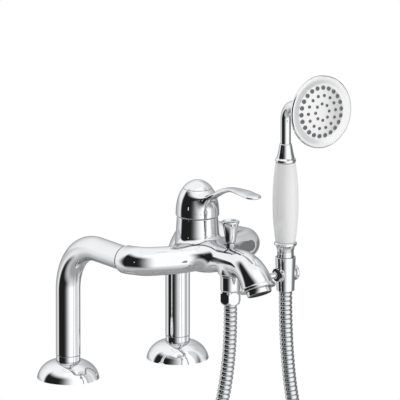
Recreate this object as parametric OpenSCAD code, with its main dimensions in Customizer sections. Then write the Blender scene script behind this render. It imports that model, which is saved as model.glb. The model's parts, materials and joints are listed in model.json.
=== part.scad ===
// Two-leg bath shower mixer: single lever, pull-up diverter, swivel cradle and hand shower.
// Millimetres. Origin on the deck plane midway between the legs, Z up, spout towards -Y.

/* [Legs] */
// Distance between the two inlet axes
leg_spacing = 150; // [130:1:170]
// Outside diameter of the bent leg tube
leg_tube_d = 27.6; // [20:0.2:36]
// Wall of the leg tube
leg_wall = 2; // [1:0.1:4]
// Height of the arms' axis above the deck
arm_z = 159.6; // [120:0.2:200]
// Centreline radius of the elbow
leg_bend_r = 58; // [35:1:70]
// Reach of the leg tube from the inlet axis to the union seam
leg_reach = 112; // [90:1:130]
// Diameter of the domed foot cover
foot_d = 70; // [50:1:90]
// Radius of the foot cover's dome arc
foot_arc_r = 24; // [18:0.5:35]
// How far the arc's centre lies below the deck
foot_arc_drop = 4; // [0:0.5:8]
// Sheet thickness of the foot cover
foot_wall = 2.2; // [1:0.1:4]
// Diameter of the bush's visible collar
collar_d = 26.4; // [20:0.2:34]
// Height of the seam between collar and tube
collar_z = 28; // [22:0.5:40]
// Radius of the female inlet thread, drawn at its minor diameter
inlet_r = 9.3; // [7:0.1:12]
// Depth of the inlet thread
inlet_depth = 22; // [12:1:40]
// Length of the bush's spigot in the tube
spigot_len = 14; // [8:1:30]
// Radius of the waterway through the bush
bush_bore_r = 7.5; // [5:0.1:9]

/* [Body] */
// Diameter of the body's arms
body_d = 32.4; // [26:0.2:40]
// Radius of the body at its middle
body_mid_r = 18.2; // [14:0.1:22]
// Plan radius of the body's corners
body_bend_r = 17; // [16.5:0.5:24]
// Straight length of the body's arm, from the union seam to its corner
arm_len = 11; // [8:0.5:30]
// Radius of the waterway in the body
body_bore_r = 10; // [6:0.2:13]
// Wall between the hot and the cold waterway
bore_wall = 2.6; // [2:0.1:3.4]
// Length of the union nipple in each half of the union
union_len = 6; // [5:0.5:14]
// Section radius of the union seal
union_ring_r = 1.2; // [0.8:0.1:2]

/* [Cartridge housing] */
// Offset of the cartridge axis from the axis of the transverse run
cart_set = 3.5; // [0:0.5:8]
// Height of the housing's top
housing_top_z = 205.4; // [195:0.2:220]
// Radius at the housing's top
housing_top_r = 22.9; // [20:0.1:26]
// Radius near the housing's base
housing_base_r = 25; // [22:0.1:30]
// Radius of the flared lip at the housing's base
lip_r = 27; // [24:0.1:32]
// Height of that lip
lip_z = 173; // [168:0.5:180]
// Height of the chamber's floor
chamber_floor_z = 174; // [170:0.5:180]
// Radius of the cartridge
cart_r = 17.4; // [14:0.1:20]
// Radius of the cartridge's neck inside the retaining nut
case_neck_r = 14.8; // [13:0.1:17]
// Radius of the chamber for the ceramic discs
disc_r = 15.4; // [12:0.1:16]
// Thickness of the cartridge's seal
seal_t = 2; // [1:0.1:3]
// Radius of that seal
seal_r = 13; // [11:0.1:14]
// Offset of the inlet ports to each side
port_x = 3.8; // [3:0.1:6]
// Offset of the inlet ports behind the cartridge axis
port_y = 5; // [3:0.1:7]
// Offset of the outlet port in front of the cartridge axis
outlet_port_y = 8.6; // [7:0.1:10]
// Radius of the ports
port_r = 1.9; // [1.5:0.1:2.5]
// Radius of the retaining nut
nut_r = 20.2; // [18:0.1:22]
// Height at which the nut bears on the cartridge
nut_z = 198; // [190:0.5:202]
// Height of the lever's pivot
pivot_z = 197; // [190:0.5:205]
// Radius of the rotor
rotor_r = 12; // [9:0.1:14]
// Top of the rotor
rotor_top_z = 208; // [204:0.5:212]
// Across flats of the stem
stem_af = 8; // [5:0.1:10]
// Radius of the stem's ball
stem_ball_r = 2.6; // [2:0.1:4]
// Height of that ball's centre
stem_ball_z = 188; // [184:0.5:192]
// Radius of the pivot pin
pivot_pin_r = 1.5; // [1:0.1:2.5]
// Thickness of each ceramic disc
disc_t = 4; // [2:0.2:6]
// Radius of the moving disc
moving_r = 8.6; // [7:0.1:9]
// Height of the moving disc with its carrier
moving_h = 10; // [8:0.2:10]
// Running clearance of the parts in the cartridge
cart_clear = 0.3; // [0.1:0.05:0.6]

/* [Handle] */
// Height of the skirt's lower edge
skirt_z = 206; // [200:0.2:215]
// Radius of the skirt
skirt_r = 24.3; // [20:0.1:28]
// Wall of the skirt
skirt_wall = 0.95; // [0.7:0.05:2]
// Height of the dome above the skirt's edge
dome_h = 40.6; // [30:0.2:50]
// Radius of the handle's screw
screw_r = 1.6; // [1:0.1:2.5]
// Radius of that screw's head
screw_head_r = 3.4; // [2.5:0.1:4.5]
// Radius of the post in the handle that holds the stem
post_r = 7.6; // [7:0.1:10]
// Length of the stem above the pivot
stem_up = 23; // [15:0.5:26]
// Height of the seam of the top cap
top_cap_z = 237; // [228:0.5:243]
// Top of the hollow under the dome
hollow_top_z = 226; // [220:0.5:232]
// Reach of the lever's tip from the cartridge axis
lever_len = 114.5; // [90:0.5:140]
// Half width of the lever's blade
blade_half_w = 9.4; // [6:0.1:14]
// Half width of the lever's narrow part
waist_half_w = 5.4; // [4:0.1:9]
// Height of the blade's middle
blade_z = 249; // [235:0.5:265]

/* [Spout] */
// Height of the spout's axis at the body
spout_root_z = 158; // [150:0.5:170]
// Rise of the spout's axis, in degrees
spout_rise = 6.2; // [0:0.1:12]
// Length of the spout from the transverse run to its turn
spout_run = 83.4; // [70:0.2:100]
// Radius of that turn
spout_turn_r = 34; // [25:0.5:60]
// Final fall of the spout's axis, in degrees
spout_fall = 62; // [40:1:85]
// Radius of the spout at the body
spout_root_r = 17.6; // [14:0.1:20]
// Radius of the spout in its turn
spout_r = 14.6; // [12:0.1:18]
// Radius of the spout at its mouth
spout_mouth_r = 16.8; // [14:0.1:20]
// Length of the flare at the mouth
mouth_len = 5; // [2:0.2:12]
// Radius of the bead round the mouth
bead_r = 19; // [17:0.1:24]
// Thickness of that bead
bead_t = 4; // [2:0.2:8]
// Radius of the spout's waterway
spout_bore_r = 9; // [6:0.2:12]
// Radius of the aerator's shell
aerator_r = 13.2; // [10:0.1:14]
// How far the aerator stands out of the bead
aerator_out = 6; // [1:0.2:8]
// How far the aerator goes into the spout
aerator_in = 8; // [4:0.2:12]
// Wall of the aerator's shell
aerator_wall = 1.6; // [1:0.1:3]

/* [Diverter] */
// Reach of the diverter's axis from the transverse run
div_run = 66.5; // [58:0.5:78]
// Radius of the boss under the spout
boss_r = 13.6; // [12:0.1:18]
// Height of the boss's lower face
boss_z = 148; // [140:0.5:155]
// Radius of the valve bore in the boss
valve_bore_r = 9.6; // [7:0.1:11]
// Top of the valve bore
valve_top_z = 170; // [165:0.5:175]
// Height of the valve
valve_h = 6; // [4:0.2:8]
// Clearance of the valve in its bore
valve_clear = 0.4; // [0.3:0.05:0.8]
// Section radius of the valve's seal
valve_ring_r = 1.2; // [0.8:0.1:1.6]
// Pull of the knob
div_pull = 9; // [5:0.5:12]
// Radius of the rod
rod_r = 2.6; // [2:0.1:4]
// Running clearance of the rod
rod_clear = 0.06; // [0.02:0.01:0.1]
// Radius of the gland bush
gland_r = 5.6; // [4:0.1:7]
// Top of the gland's collar
gland_top_z = 182; // [178:0.2:186]
// Radius of the knob's rim
knob_r = 10.3; // [8:0.1:14]
// Radius of the knob's waist
knob_waist_r = 5.7; // [4:0.1:8]
// Lower end of the knob
knob_z = 187.6; // [183:0.2:192]
// Height of the knob's rim
knob_rim_z = 211; // [200:0.5:218]

/* [Hose outlet] */
// Radius of the outlet stub
stub_r = 11; // [9:0.1:13]
// Height of the stub's shoulder on the hose nut
stub_z = 130.7; // [125:0.1:136]
// Waterway radius of the stub
stub_bore_r = 5.5; // [3:0.1:8]
// Radius of the check valve in the stub
check_r = 7.6; // [6:0.1:9]
// Radius of the stub's male thread
thread_r = 8.9; // [8:0.1:11]
// Across flats of the hose nut
nut_af = 21; // [19:0.1:27]
// Lower face of the hose nut
hose_nut_z = 117.4; // [112:0.1:122]
// Thickness of the hose washer
washer_t = 2; // [1:0.1:3]
// Thickness of the hose tail's flange
tail_flange_t = 1.6; // [1:0.1:3]

/* [Cradle] */
// Offset of the cradle and hand shower from the spout's plane
cradle_x = 75.2; // [60:0.2:95]
// Height of the cradle's pivot
cradle_pivot_z = 140.6; // [130:0.2:150]
// Radius of the bracket arm
arm_r = 3.1; // [2.5:0.1:6]
// Radius of the pivot's discs
pivot_disc_r = 9.2; // [7:0.1:12]
// Distance of the pivot discs' outer faces from the cradle's axis
pivot_disc_x = 12.6; // [11:0.1:16]
// Gap that the friction ring fills between arm and cradle
friction_gap = 0.6; // [0.3:0.1:1.5]
// Radius of the pivot spigot
spigot_r = 3.5; // [2.5:0.1:5]
// Depth of the pivot spigot in the cradle
spigot_in = 3.4; // [2:0.1:4]
// Running clearance of the pivot spigot
spigot_clear = 0.05; // [0.02:0.01:0.1]
// Lower face of the sleeve
sleeve_z0 = 121.5; // [115:0.5:128]
// Upper face of the sleeve
sleeve_z1 = 160; // [152:0.5:168]
// Outside radius of the sleeve's lower end
sleeve_r0 = 9.95; // [8:0.05:13]
// Outside radius of the sleeve's upper end
sleeve_r1 = 11.4; // [9:0.05:14]
// Wall of the sleeve
sleeve_wall = 1.1; // [0.8:0.05:2]
// Wall of the plastic liner
liner_wall = 0.7; // [0.4:0.05:1.2]
// Clearance of the hose cone in the liner
cone_clear = 0.08; // [0.03:0.01:0.1]

/* [Hand shower] */
// Top of the hose cone
cone_top_z = 166; // [162:0.5:172]
// Radius of the lower ferrule's neck
ferrule_neck_r = 9.2; // [7:0.1:11]
// Radius of the lower ferrule's bead
ferrule_bead_r = 12.7; // [10:0.1:15]
// Lower end of the grip
grip_z0 = 177.2; // [170:0.2:185]
// Upper end of the grip
grip_z1 = 268.2; // [255:0.2:280]
// Radius of the grip at its ends
grip_end_r = 11.2; // [9:0.1:13]
// Radius of the grip at its middle
grip_mid_r = 14.65; // [11:0.05:18]
// Bore of the grip
grip_bore_r = 7; // [5:0.1:9]
// Outside radius of the tube through the grip
core_r = 5; // [4:0.1:6]
// Radius of the upper ferrule's bead
top_bead_r = 11.5; // [10:0.1:14]
// Upper end of the upper ferrule
ferrule_top_z = 289.6; // [280:0.2:300]
// Radius of the neck
neck_r = 5.8; // [4:0.1:8]
// Wall of the neck
neck_wall = 1.2; // [0.8:0.1:2]
// Centreline radius of the neck's bend
neck_bend_r = 18.4; // [14:0.2:30]
// Reach of the spray face's centre from the grip's axis
face_run = 68.9; // [55:0.2:90]
// Height of the spray face's centre
face_z = 340.8; // [320:0.2:360]
// Upward tilt of the spray face, in degrees
face_tilt = 4; // [-10:0.5:20]
// Radius of the head
head_r = 40.5; // [30:0.5:60]
// Depth of the head behind its face
head_depth = 19; // [12:0.5:40]
// Wall of the head
head_wall = 1.6; // [1:0.1:3]
// Width of the rim outside the white face plate
rim_w = 2.1; // [1.5:0.1:6]
// Width of the sloping band round the nozzle field
slope_w = 8.2; // [4:0.2:16]
// Nozzles in the outer ring
nozzle_outer_n = 22; // [12:1:30]
// Nozzles in the middle ring
nozzle_middle_n = 14; // [8:1:20]
// Nozzles in the inner ring
nozzle_inner_n = 8; // [4:1:12]
// Radius of the outer ring of nozzles
nozzle_outer_ring = 27; // [15:0.1:36]
// Radius of the middle ring of nozzles
nozzle_middle_ring = 18.6; // [10:0.1:26]
// Radius of the inner ring of nozzles
nozzle_inner_ring = 9.3; // [5:0.1:14]
// Radius of an outer nozzle
nozzle_outer_r = 2.1; // [1:0.05:3]
// Radius of an inner nozzle
nozzle_inner_r = 1.5; // [0.8:0.05:2.5]
// Clearance round the spray face in its rim
rim_clear = 0.1; // [0.05:0.05:0.3]
// How far a nozzle stands out
nozzle_out = 0.9; // [0.3:0.1:2]

/* [Hose] */
// Outside diameter of the hose
hose_d = 15; // [12:0.1:18]
// Depth of the hose's grooves
hose_groove = 0.75; // [0.3:0.05:1.2]
// Bore of the hose
hose_bore_r = 4.5; // [3:0.1:6]
// Pitch of the ribs that show
rib_pitch = 5.2; // [4:0.1:8]
// Radius of the put-away coil at the middle of the hose
coil_r = 90; // [75:1:110]
// Distance between the coil's turns
coil_pitch = 17; // [16:0.5:22]
// Whole turns that the coil has beyond its open half turn
coil_turns = 1; // [1:1:3]
// Height of the coil's centre
coil_z = -203; // [-260:1:-120]
// Offset of the coil's centre
coil_x = 40; // [20:1:60]
// Set-back of the coil's first turn behind the outlet
coil_set = 10.5; // [0:0.5:30]
// Ribs drawn along the coil
coil_ribs = 70; // [30:1:90]

/* [Hidden] */
$fn = 96;

// A bend is this much slimmer than the bars that it joins at a slant, so that their ends meet cleanly.
fuse = 0.08;
leg_r = leg_tube_d / 2;
leg_bore = leg_r - leg_wall;
leg_x = leg_spacing / 2;
body_r = body_d / 2;
foot_arc_x = foot_d / 2 - sqrt(foot_arc_r * foot_arc_r - foot_arc_drop * foot_arc_drop);
collar_r = collar_d / 2;
body_turn_y = leg_reach + arm_len;
body_reach = body_turn_y + body_bend_r;
cart_y = body_reach + cart_set;
spout_turn_y = body_reach + spout_run;
div_y = body_reach + div_run;
face_y = div_y + face_run;
face_r = head_r - rim_w;
field_r = face_r - slope_w;
spout_turn_z = spout_root_z + (spout_turn_y - body_reach) * tan(spout_rise);
spout_cy = spout_turn_y + spout_turn_r * sin(spout_rise);
spout_cz = spout_turn_z - spout_turn_r * cos(spout_rise);
mouth_y = spout_cy + spout_turn_r * sin(spout_fall);
mouth_z = spout_cz + spout_turn_r * cos(spout_fall);
dome_z0 = skirt_z + 1;
sleeve_h = sleeve_z1 - sleeve_z0;
liner_r0 = sleeve_r0 - sleeve_wall;
liner_r1 = sleeve_r1 - sleeve_wall;
cone_r0 = liner_r0 - liner_wall - cone_clear;
cone_r1 = liner_r1 - liner_wall - cone_clear;
screw_seat_z = top_cap_z - 6;
disc_z = chamber_floor_z + seal_t;
moving_z = disc_z + disc_t;
rotor_z = moving_z + moving_h + cart_clear;
shoulder_z = rotor_z + 1.6;
valve_z = boss_z + valve_clear;
gland_z = valve_z + valve_h + div_pull + 1;
arm_root_x = check_r + 0.5;
pivot_face_x = cradle_x - pivot_disc_x - friction_gap;
washer_z = hose_nut_z + 5.2;
tail_z = washer_z - washer_t;
hose_r = hose_d / 2;
hose_top_z = tail_z - tail_flange_t;
grip_half = (grip_z1 - grip_z0) / 2;
grip_sag = grip_mid_r - grip_end_r;
grip_arc = (grip_half * grip_half + grip_sag * grip_sag) / (2 * grip_sag);
neck_end_y = div_y + neck_bend_r * (1 - sin(face_tilt));
neck_end_z = face_z - (face_y - neck_end_y) * tan(face_tilt);
neck_turn_z = neck_end_z - neck_bend_r * cos(face_tilt);
hub_y = face_y - (head_depth + 4) * cos(face_tilt);

// Turns local X forward, local Y up and local Z to the left.
module side() {
    rotate([90, 0, -90]) children();
}

// A torus segment in the side plane, from angle a0 over da.
module bend(cy, cz, big, small, a0, da) {
    side() translate([cy, cz, 0]) rotate([0, 0, a0])
        rotate_extrude(angle = da) translate([big, 0]) circle(small);
}

// A round bar in the side plane from (y, z) at an angle over the horizontal.
module bar(y, z, fall, h, r1, r2) {
    side() translate([y, z, 0]) rotate([0, 0, fall]) rotate([0, 90, 0]) cylinder(h = h, r1 = r1, r2 = r2);
}

// A hollow upright cylinder from z0 to z1.
module ring(ro, ri, z0, z1) {
    translate([0, 0, z0]) difference() {
        cylinder(h = z1 - z0, r = ro);
        translate([0, 0, -1]) cylinder(h = z1 - z0 + 2, r = ri);
    }
}

module at_mouth() {
    side() translate([mouth_y, mouth_z, 0]) rotate([0, 0, -spout_fall]) rotate([0, 90, 0]) children();
}

module at_cart() {
    translate([0, -cart_y, 0]) children();
}

module at_div() {
    translate([0, -div_y, 0]) children();
}

module at_hand() {
    translate([cradle_x, -div_y, 0]) children();
}

module at_face() {
    translate([cradle_x, -face_y, face_z]) rotate([90 - face_tilt, 0, 0]) children();
}

module foot_cover(s) {
    color("silver") translate([s * leg_x, 0, 0]) rotate_extrude() difference() {
        intersection() {
            translate([foot_arc_x, -foot_arc_drop]) circle(foot_arc_r);
            translate([collar_r, 0]) square([foot_d, foot_d]);
        }
        translate([foot_arc_x, -foot_arc_drop]) circle(foot_arc_r - foot_wall);
    }
}

module inlet_bush(s) {
    color("gainsboro") translate([s * leg_x, 0, 0]) difference() {
        union() {
            cylinder(h = collar_z, r = collar_r);
            cylinder(h = collar_z + spigot_len, r = leg_bore);
        }
        translate([0, 0, -1]) cylinder(h = inlet_depth + 1, r = inlet_r);
        translate([0, 0, -1]) cylinder(h = collar_z + spigot_len + 2, r = bush_bore_r);
    }
}

module leg_path(r, over) {
    translate([0, 0, collar_z - over]) cylinder(h = arm_z - leg_bend_r - collar_z + over, r = r);
    bend(leg_bend_r, arm_z - leg_bend_r, leg_bend_r, r, 90, 90);
    bar(leg_bend_r, arm_z, 0, leg_reach - leg_bend_r + over, r, r);
}

module leg_tube(s) {
    color("silver") translate([s * leg_x, 0, 0]) difference() {
        leg_path(leg_r, 0);
        leg_path(leg_bore, 1);
    }
}

module union_nipple(s) {
    color("gainsboro") translate([s * leg_x, 0, 0]) difference() {
        bar(leg_reach - union_len, arm_z, 0, 2 * union_len, leg_bore, leg_bore);
        bar(leg_reach - union_len - 1, arm_z, 0, 2 * union_len + 2, leg_bore - 2, leg_bore - 2);
        translate([0, -leg_reach - union_len / 2, arm_z]) rotate([90, 0, 0])
            rotate_extrude() translate([leg_bore, 0]) circle(union_ring_r);
    }
}

module union_seal(s) {
    color("black") translate([s * leg_x, -leg_reach - union_len / 2, arm_z]) rotate([90, 0, 0])
        rotate_extrude() intersection() {
            translate([leg_bore, 0]) circle(union_ring_r);
            translate([0, -5]) square([leg_bore, 10]);
        }
}

module arm_path(r) {
    for (s = [0, 1]) mirror([s, 0, 0]) {
        translate([-leg_x + body_bend_r, -body_turn_y, arm_z]) rotate([0, 0, 180])
            rotate_extrude(angle = 90) translate([body_bend_r, 0]) circle(r);
    }
}

module spout_path(r0, r1, y0) {
    h = (spout_turn_y - y0) / cos(spout_rise);
    z0 = spout_root_z + (y0 - body_reach) * tan(spout_rise);
    bar(y0, z0, spout_rise, h, r0, r1);
    bend(spout_cy, spout_cz, spout_turn_r, r1 - fuse, 90 - spout_fall - 1, spout_fall + spout_rise + 2);
}

module body_outside() {
    for (s = [-1, 1]) translate([s * leg_x, 0, 0])
        bar(leg_reach, arm_z, 0, body_turn_y - leg_reach, body_r, body_r);
    arm_path(body_r);
    for (s = [0, 1]) mirror([s, 0, 0]) translate([-leg_x + body_bend_r, -body_reach, arm_z])
        rotate([0, 90, 0]) cylinder(h = leg_x - body_bend_r, r1 = body_r, r2 = body_mid_r);
    at_cart() rotate_extrude() polygon([[0, lip_z - 23], [lip_r - 13, lip_z - 23], [lip_r - 8, lip_z - 19],
        [lip_r - 4, lip_z - 13], [lip_r - 1, lip_z - 6], [lip_r, lip_z - 1], [lip_r, lip_z],
        [housing_base_r + 0.6, lip_z + 1.6], [housing_base_r, lip_z + 4],
        [housing_top_r + 0.7, housing_top_z - 14], [housing_top_r, housing_top_z - 1.4],
        [housing_top_r - 1.2, housing_top_z], [0, housing_top_z]]);
    spout_path(spout_root_r, spout_r, body_reach);
    at_mouth() {
        cylinder(h = mouth_len, r1 = spout_r, r2 = spout_mouth_r);
        translate([0, 0, mouth_len - bead_t]) rotate_extrude() union() {
            square([bead_r - bead_t / 2, bead_t]);
            translate([bead_r - bead_t / 2, bead_t / 2]) circle(bead_t / 2);
        }
    }
    at_div() translate([0, 0, boss_z]) cylinder(h = spout_turn_z - boss_z - 4, r = boss_r);
}

module body_inside() {
    for (s = [0, 1]) mirror([s, 0, 0]) {
        translate([-leg_x, 0, 0]) {
            bar(leg_reach - 1, arm_z, 0, union_len + 1, leg_bore, leg_bore);
            bar(leg_reach, arm_z, 0, body_turn_y - leg_reach, body_bore_r, body_bore_r);
        }
        translate([-leg_x + body_bend_r, -body_reach, arm_z]) rotate([0, 90, 0])
            cylinder(h = leg_x - body_bend_r - bore_wall / 2, r = body_bore_r);
    }
    arm_path(body_bore_r);
    at_cart() {
        ports(arm_z + 2, chamber_floor_z + 1);
        translate([0, 0, chamber_floor_z]) cylinder(h = 60, r = cart_r);
        translate([0, 0, nut_z]) cylinder(h = 40, r = nut_r);
    }
    spout_path(spout_bore_r - 3, spout_bore_r, cart_y + outlet_port_y);
    at_mouth() {
        translate([0, 0, -0.5]) cylinder(h = 20, r = spout_bore_r);
        translate([0, 0, mouth_len - aerator_in]) cylinder(h = 20, r = aerator_r);
    }
    at_div() {
        translate([0, 0, boss_z - 1]) cylinder(h = valve_top_z - boss_z + 1, r = valve_bore_r);
        translate([0, 0, boss_z]) cylinder(h = 60, r = gland_r);
    }
}

module mixer_body() {
    color("silver") difference() {
        body_outside();
        body_inside();
    }
}

// The two inlet ports and the outlet port under the cartridge.
module ports(z0, z1) {
    for (x = [-port_x, port_x]) translate([x, port_y, z0]) cylinder(h = z1 - z0, r = port_r);
    translate([0, -outlet_port_y, z0]) cylinder(h = z1 - z0, r = port_r);
}

module cartridge_case() {
    color("white") at_cart() difference() {
        union() {
            translate([0, 0, chamber_floor_z]) cylinder(h = nut_z - chamber_floor_z, r = cart_r);
            translate([0, 0, nut_z]) cylinder(h = housing_top_z - nut_z - 0.4, r = case_neck_r);
        }
        translate([0, 0, disc_z]) cylinder(h = shoulder_z - disc_z, r = disc_r);
        translate([0, 0, chamber_floor_z]) cylinder(h = 60, r = rotor_r + cart_clear);
        translate([0, 0, chamber_floor_z - 1]) cylinder(h = 1 + seal_t, r = seal_r);
    }
}

module cartridge_seal() {
    color("black") at_cart() difference() {
        translate([0, 0, chamber_floor_z]) cylinder(h = seal_t, r = seal_r);
        ports(chamber_floor_z - 1, disc_z + 1);
    }
}

module fixed_disc() {
    color("white") at_cart() difference() {
        translate([0, 0, disc_z]) cylinder(h = disc_t, r = disc_r);
        ports(disc_z - 1, moving_z + 1);
    }
}

module retaining_nut() {
    color("goldenrod") at_cart() difference() {
        translate([0, 0, nut_z]) cylinder(h = housing_top_z - nut_z - 0.2, r = nut_r);
        translate([0, 0, nut_z - 1]) cylinder(h = 20, r = case_neck_r);
        for (a = [0 : 60 : 300]) rotate([0, 0, a]) translate([(nut_r + case_neck_r) / 2, 0, nut_z + 4])
            cylinder(h = 20, r = 1.2);
    }
}

// A slotted head on a skirt that runs round the moving disc.
module rotor() {
    color("lightgray") at_cart() difference() {
        union() {
            translate([0, 0, rotor_z + 2]) cylinder(h = rotor_top_z - rotor_z - 2, r = rotor_r);
            ring(rotor_r, rotor_r - 1.6, rotor_z + 0.6, rotor_z + 2.6);
            ring(disc_r - cart_clear - 1.8, rotor_r - 1, rotor_z, shoulder_z - cart_clear);
            ring(disc_r - cart_clear, rotor_r + 0.6, moving_z + cart_clear, shoulder_z - cart_clear);
        }
        translate([-stem_af / 2 - cart_clear, -6, chamber_floor_z]) cube([stem_af + 2 * cart_clear, 16, 60]);
        translate([-20, 0, pivot_z]) rotate([0, 90, 0]) cylinder(h = 40, r = pivot_pin_r);
    }
}

module pivot_pin() {
    color("gray") at_cart() for (s = [-1, 1])
        translate([s > 0 ? stem_af / 2 - 2 : -rotor_r + 0.6, 0, pivot_z]) rotate([0, 90, 0])
            cylinder(h = rotor_r - stem_af / 2 + 1.4, r = pivot_pin_r);
}

// The disc covers the inlet ports at rest; the slot under its front leads to the outlet port.
module moving_disc() {
    color("whitesmoke") at_cart() difference() {
        translate([0, 0, moving_z]) cylinder(h = moving_h, r = moving_r);
        translate([0, 0, stem_ball_z - stem_ball_r - 1]) cylinder(h = 20, r = stem_ball_r + cart_clear);
        translate([-moving_r * 0.75, -2 * moving_r - 1, moving_z - 1])
            cube([moving_r * 1.5, 2 * moving_r, 2.6]);
    }
}

module stem() {
    color("goldenrod") at_cart() difference() {
        union() {
            translate([-stem_af / 2, -stem_af / 2, pivot_z - 3.4]) cube([stem_af, stem_af, stem_up + 3.4]);
            translate([0, 0, stem_ball_z]) sphere(stem_ball_r);
            translate([0, 0, stem_ball_z]) cylinder(h = pivot_z - stem_ball_z, r = 1.8);
        }
        for (s = [-1, 1]) translate([s > 0 ? stem_af / 2 - 2.1 : -stem_af / 2 - 2, 0, pivot_z])
            rotate([0, 90, 0]) cylinder(h = 4.1, r = pivot_pin_r + 0.05);
        translate([0, 0, pivot_z + 10]) cylinder(h = 40, r = screw_r);
    }
}

// Outside of the dome at a height, and the lever's middle line and half thickness at a reach.
function dome_r(z) = skirt_r * sqrt(max(0, 1 - pow(max(0, z - dome_z0) / dome_h, 2)));
function ease(t) = let (c = min(1, max(0, t))) c * c * (3 - 2 * c);
lever_keys = [[0, -24], [20, -21], [30, -16], [38, -11.6], [46, -7.4], [54, -4], [64, -1.2], [74, 0],
    [90, 0.2], [104, -0.7], [120, -0.8]];
function lever_mid(u) = blade_z
    + (lookup(u - 4, lever_keys) + lookup(u, lever_keys) + lookup(u + 4, lever_keys)) / 3;
function lever_half(u) = 1.5 + 1.4 * (1 - ease((u - 40) / 40));
function lever_under(u) = lever_mid(u) - lever_half(u) - 16 * pow(1 - ease((u - 16) / 22), 1.6);
function blade_w(u) = waist_half_w + (blade_half_w - waist_half_w) * ease((u - 58) / 36)
    + 2.4 * (1 - ease((u - 20) / 20));

module lever_blade() {
    us = concat([for (u = [8 : 3 : lever_len - 1]) u], [lever_len]);
    tip = lever_len - blade_half_w;
    intersection() {
        side() translate([cart_y, 0, -20]) linear_extrude(height = 40) polygon(concat(
            [for (u = us) [u, lever_mid(u) + lever_half(u)]],
            [for (i = [len(us) - 1 : -1 : 0]) [us[i], lever_under(us[i])]]));
        translate([0, -cart_y, skirt_z - 16]) linear_extrude(height = 80) union() {
            polygon(concat([for (u = [0 : 4 : tip]) [blade_w(u), -u]],
                [for (u = [floor(tip / 4) * 4 : -4 : 0]) [-blade_w(u), -u]]));
            translate([0, -tip]) circle(blade_half_w);
        }
    }
}

module lever_handle() {
    zs = [for (i = [0 : 12]) dome_z0 + (top_cap_z - dome_z0) * sin(90 * i / 12)];
    color("silver") difference() {
        union() {
            at_cart() rotate_extrude() polygon(concat([[0, skirt_z], [skirt_r - 0.5, skirt_z],
                [skirt_r, skirt_z + 0.5]], [for (z = zs) [dome_r(z), z]], [[0, top_cap_z]]));
            lever_blade();
        }
        at_cart() {
            rotate_extrude() difference() {
                polygon([[0, skirt_z - 1], [skirt_r - skirt_wall, skirt_z - 1],
                    [skirt_r - skirt_wall, skirt_z + 4], [dome_r(skirt_z + 10) - 1.8, skirt_z + 10],
                    [dome_r(skirt_z + 16) - 2.6, skirt_z + 16], [skirt_r / 2, hollow_top_z],
                    [0, hollow_top_z]]);
                translate([0, skirt_z + 8]) square([post_r, 30]);
            }
            translate([-stem_af / 2, -stem_af / 2, pivot_z]) cube([stem_af, stem_af, stem_up]);
            translate([0, 0, pivot_z]) cylinder(h = 60, r = screw_r);
            translate([0, 0, screw_seat_z]) cylinder(h = 20, r = screw_head_r + 1);
        }
    }
}

module handle_screw() {
    color("gray") at_cart() union() {
        translate([0, 0, pivot_z + 11]) cylinder(h = screw_seat_z - pivot_z - 11, r = screw_r);
        translate([0, 0, screw_seat_z]) cylinder(h = 3, r = screw_head_r);
    }
}

module handle_top_cap() {
    zs = [for (i = [0 : 8]) top_cap_z + (dome_z0 + dome_h - 0.05 - top_cap_z) * sin(90 * i / 8)];
    color("silver") at_cart() rotate_extrude() polygon(concat([[0, top_cap_z]],
        [for (z = zs) [dome_r(z), z]], [[0, dome_z0 + dome_h - 0.05]]));
}

module aerator_shell() {
    color("silver") at_mouth() difference() {
        translate([0, 0, mouth_len - aerator_in]) cylinder(h = aerator_in + aerator_out, r = aerator_r);
        translate([0, 0, mouth_len - aerator_in - 1]) cylinder(h = 40, r = aerator_r - aerator_wall);
    }
}

module aerator_insert() {
    ri = aerator_r - aerator_wall;
    color("dimgray") at_mouth() difference() {
        translate([0, 0, mouth_len - aerator_in + 1.5]) cylinder(h = aerator_in + aerator_out - 2.7, r = ri);
        for (a = [0 : 45 : 315]) rotate([0, 0, a]) translate([7, 0, -20]) cylinder(h = 40, r = 1.8);
        translate([0, 0, -20]) cylinder(h = 40, r = 2.4);
    }
}

module aerator_seal() {
    z0 = mouth_len - aerator_in;
    color("black") at_mouth() ring(aerator_r - aerator_wall, spout_bore_r - 1, z0, z0 + 1.5);
}

module diverter_gland() {
    color("silver") at_div() difference() {
        union() {
            translate([0, 0, gland_z]) cylinder(h = gland_top_z - gland_z, r = gland_r);
            translate([0, 0, gland_top_z - 0.6]) cylinder(h = 2, r1 = gland_r, r2 = rod_r + 1.6);
        }
        translate([0, 0, gland_z - 1]) cylinder(h = 60, r = rod_r + rod_clear);
    }
}

module diverter_rod() {
    color("gray") at_div() translate([0, 0, valve_z]) cylinder(h = knob_z + 8 - valve_z, r = rod_r);
}

// The knob widens from its waist to its rim along a power curve.
module diverter_knob() {
    h = knob_rim_z - knob_z;
    flare = [for (i = [1 : 9])
        [knob_waist_r + (knob_r - knob_waist_r) * pow(i / 9, 2.3), knob_z + h * (0.03 + 0.92 * i / 9)]];
    color("silver") at_div() difference() {
        rotate_extrude() polygon(concat(
            [[0, knob_z], [knob_waist_r - 0.8, knob_z], [knob_waist_r, knob_z + 0.8]], flare,
            [[knob_r - 0.3, knob_rim_z], [knob_r * 0.6, knob_rim_z + 0.9], [0, knob_rim_z + 1.3]]));
        translate([0, 0, knob_z - 1]) cylinder(h = 9, r = rod_r);
    }
}

module diverter_valve() {
    r = valve_bore_r - valve_clear;
    color("goldenrod") at_div() translate([0, 0, valve_z]) difference() {
        cylinder(h = valve_h, r = r);
        translate([0, 0, -1]) cylinder(h = valve_h + 2, r = rod_r);
        translate([0, 0, valve_h / 2]) rotate_extrude() translate([r, 0]) circle(valve_ring_r);
    }
}

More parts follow.
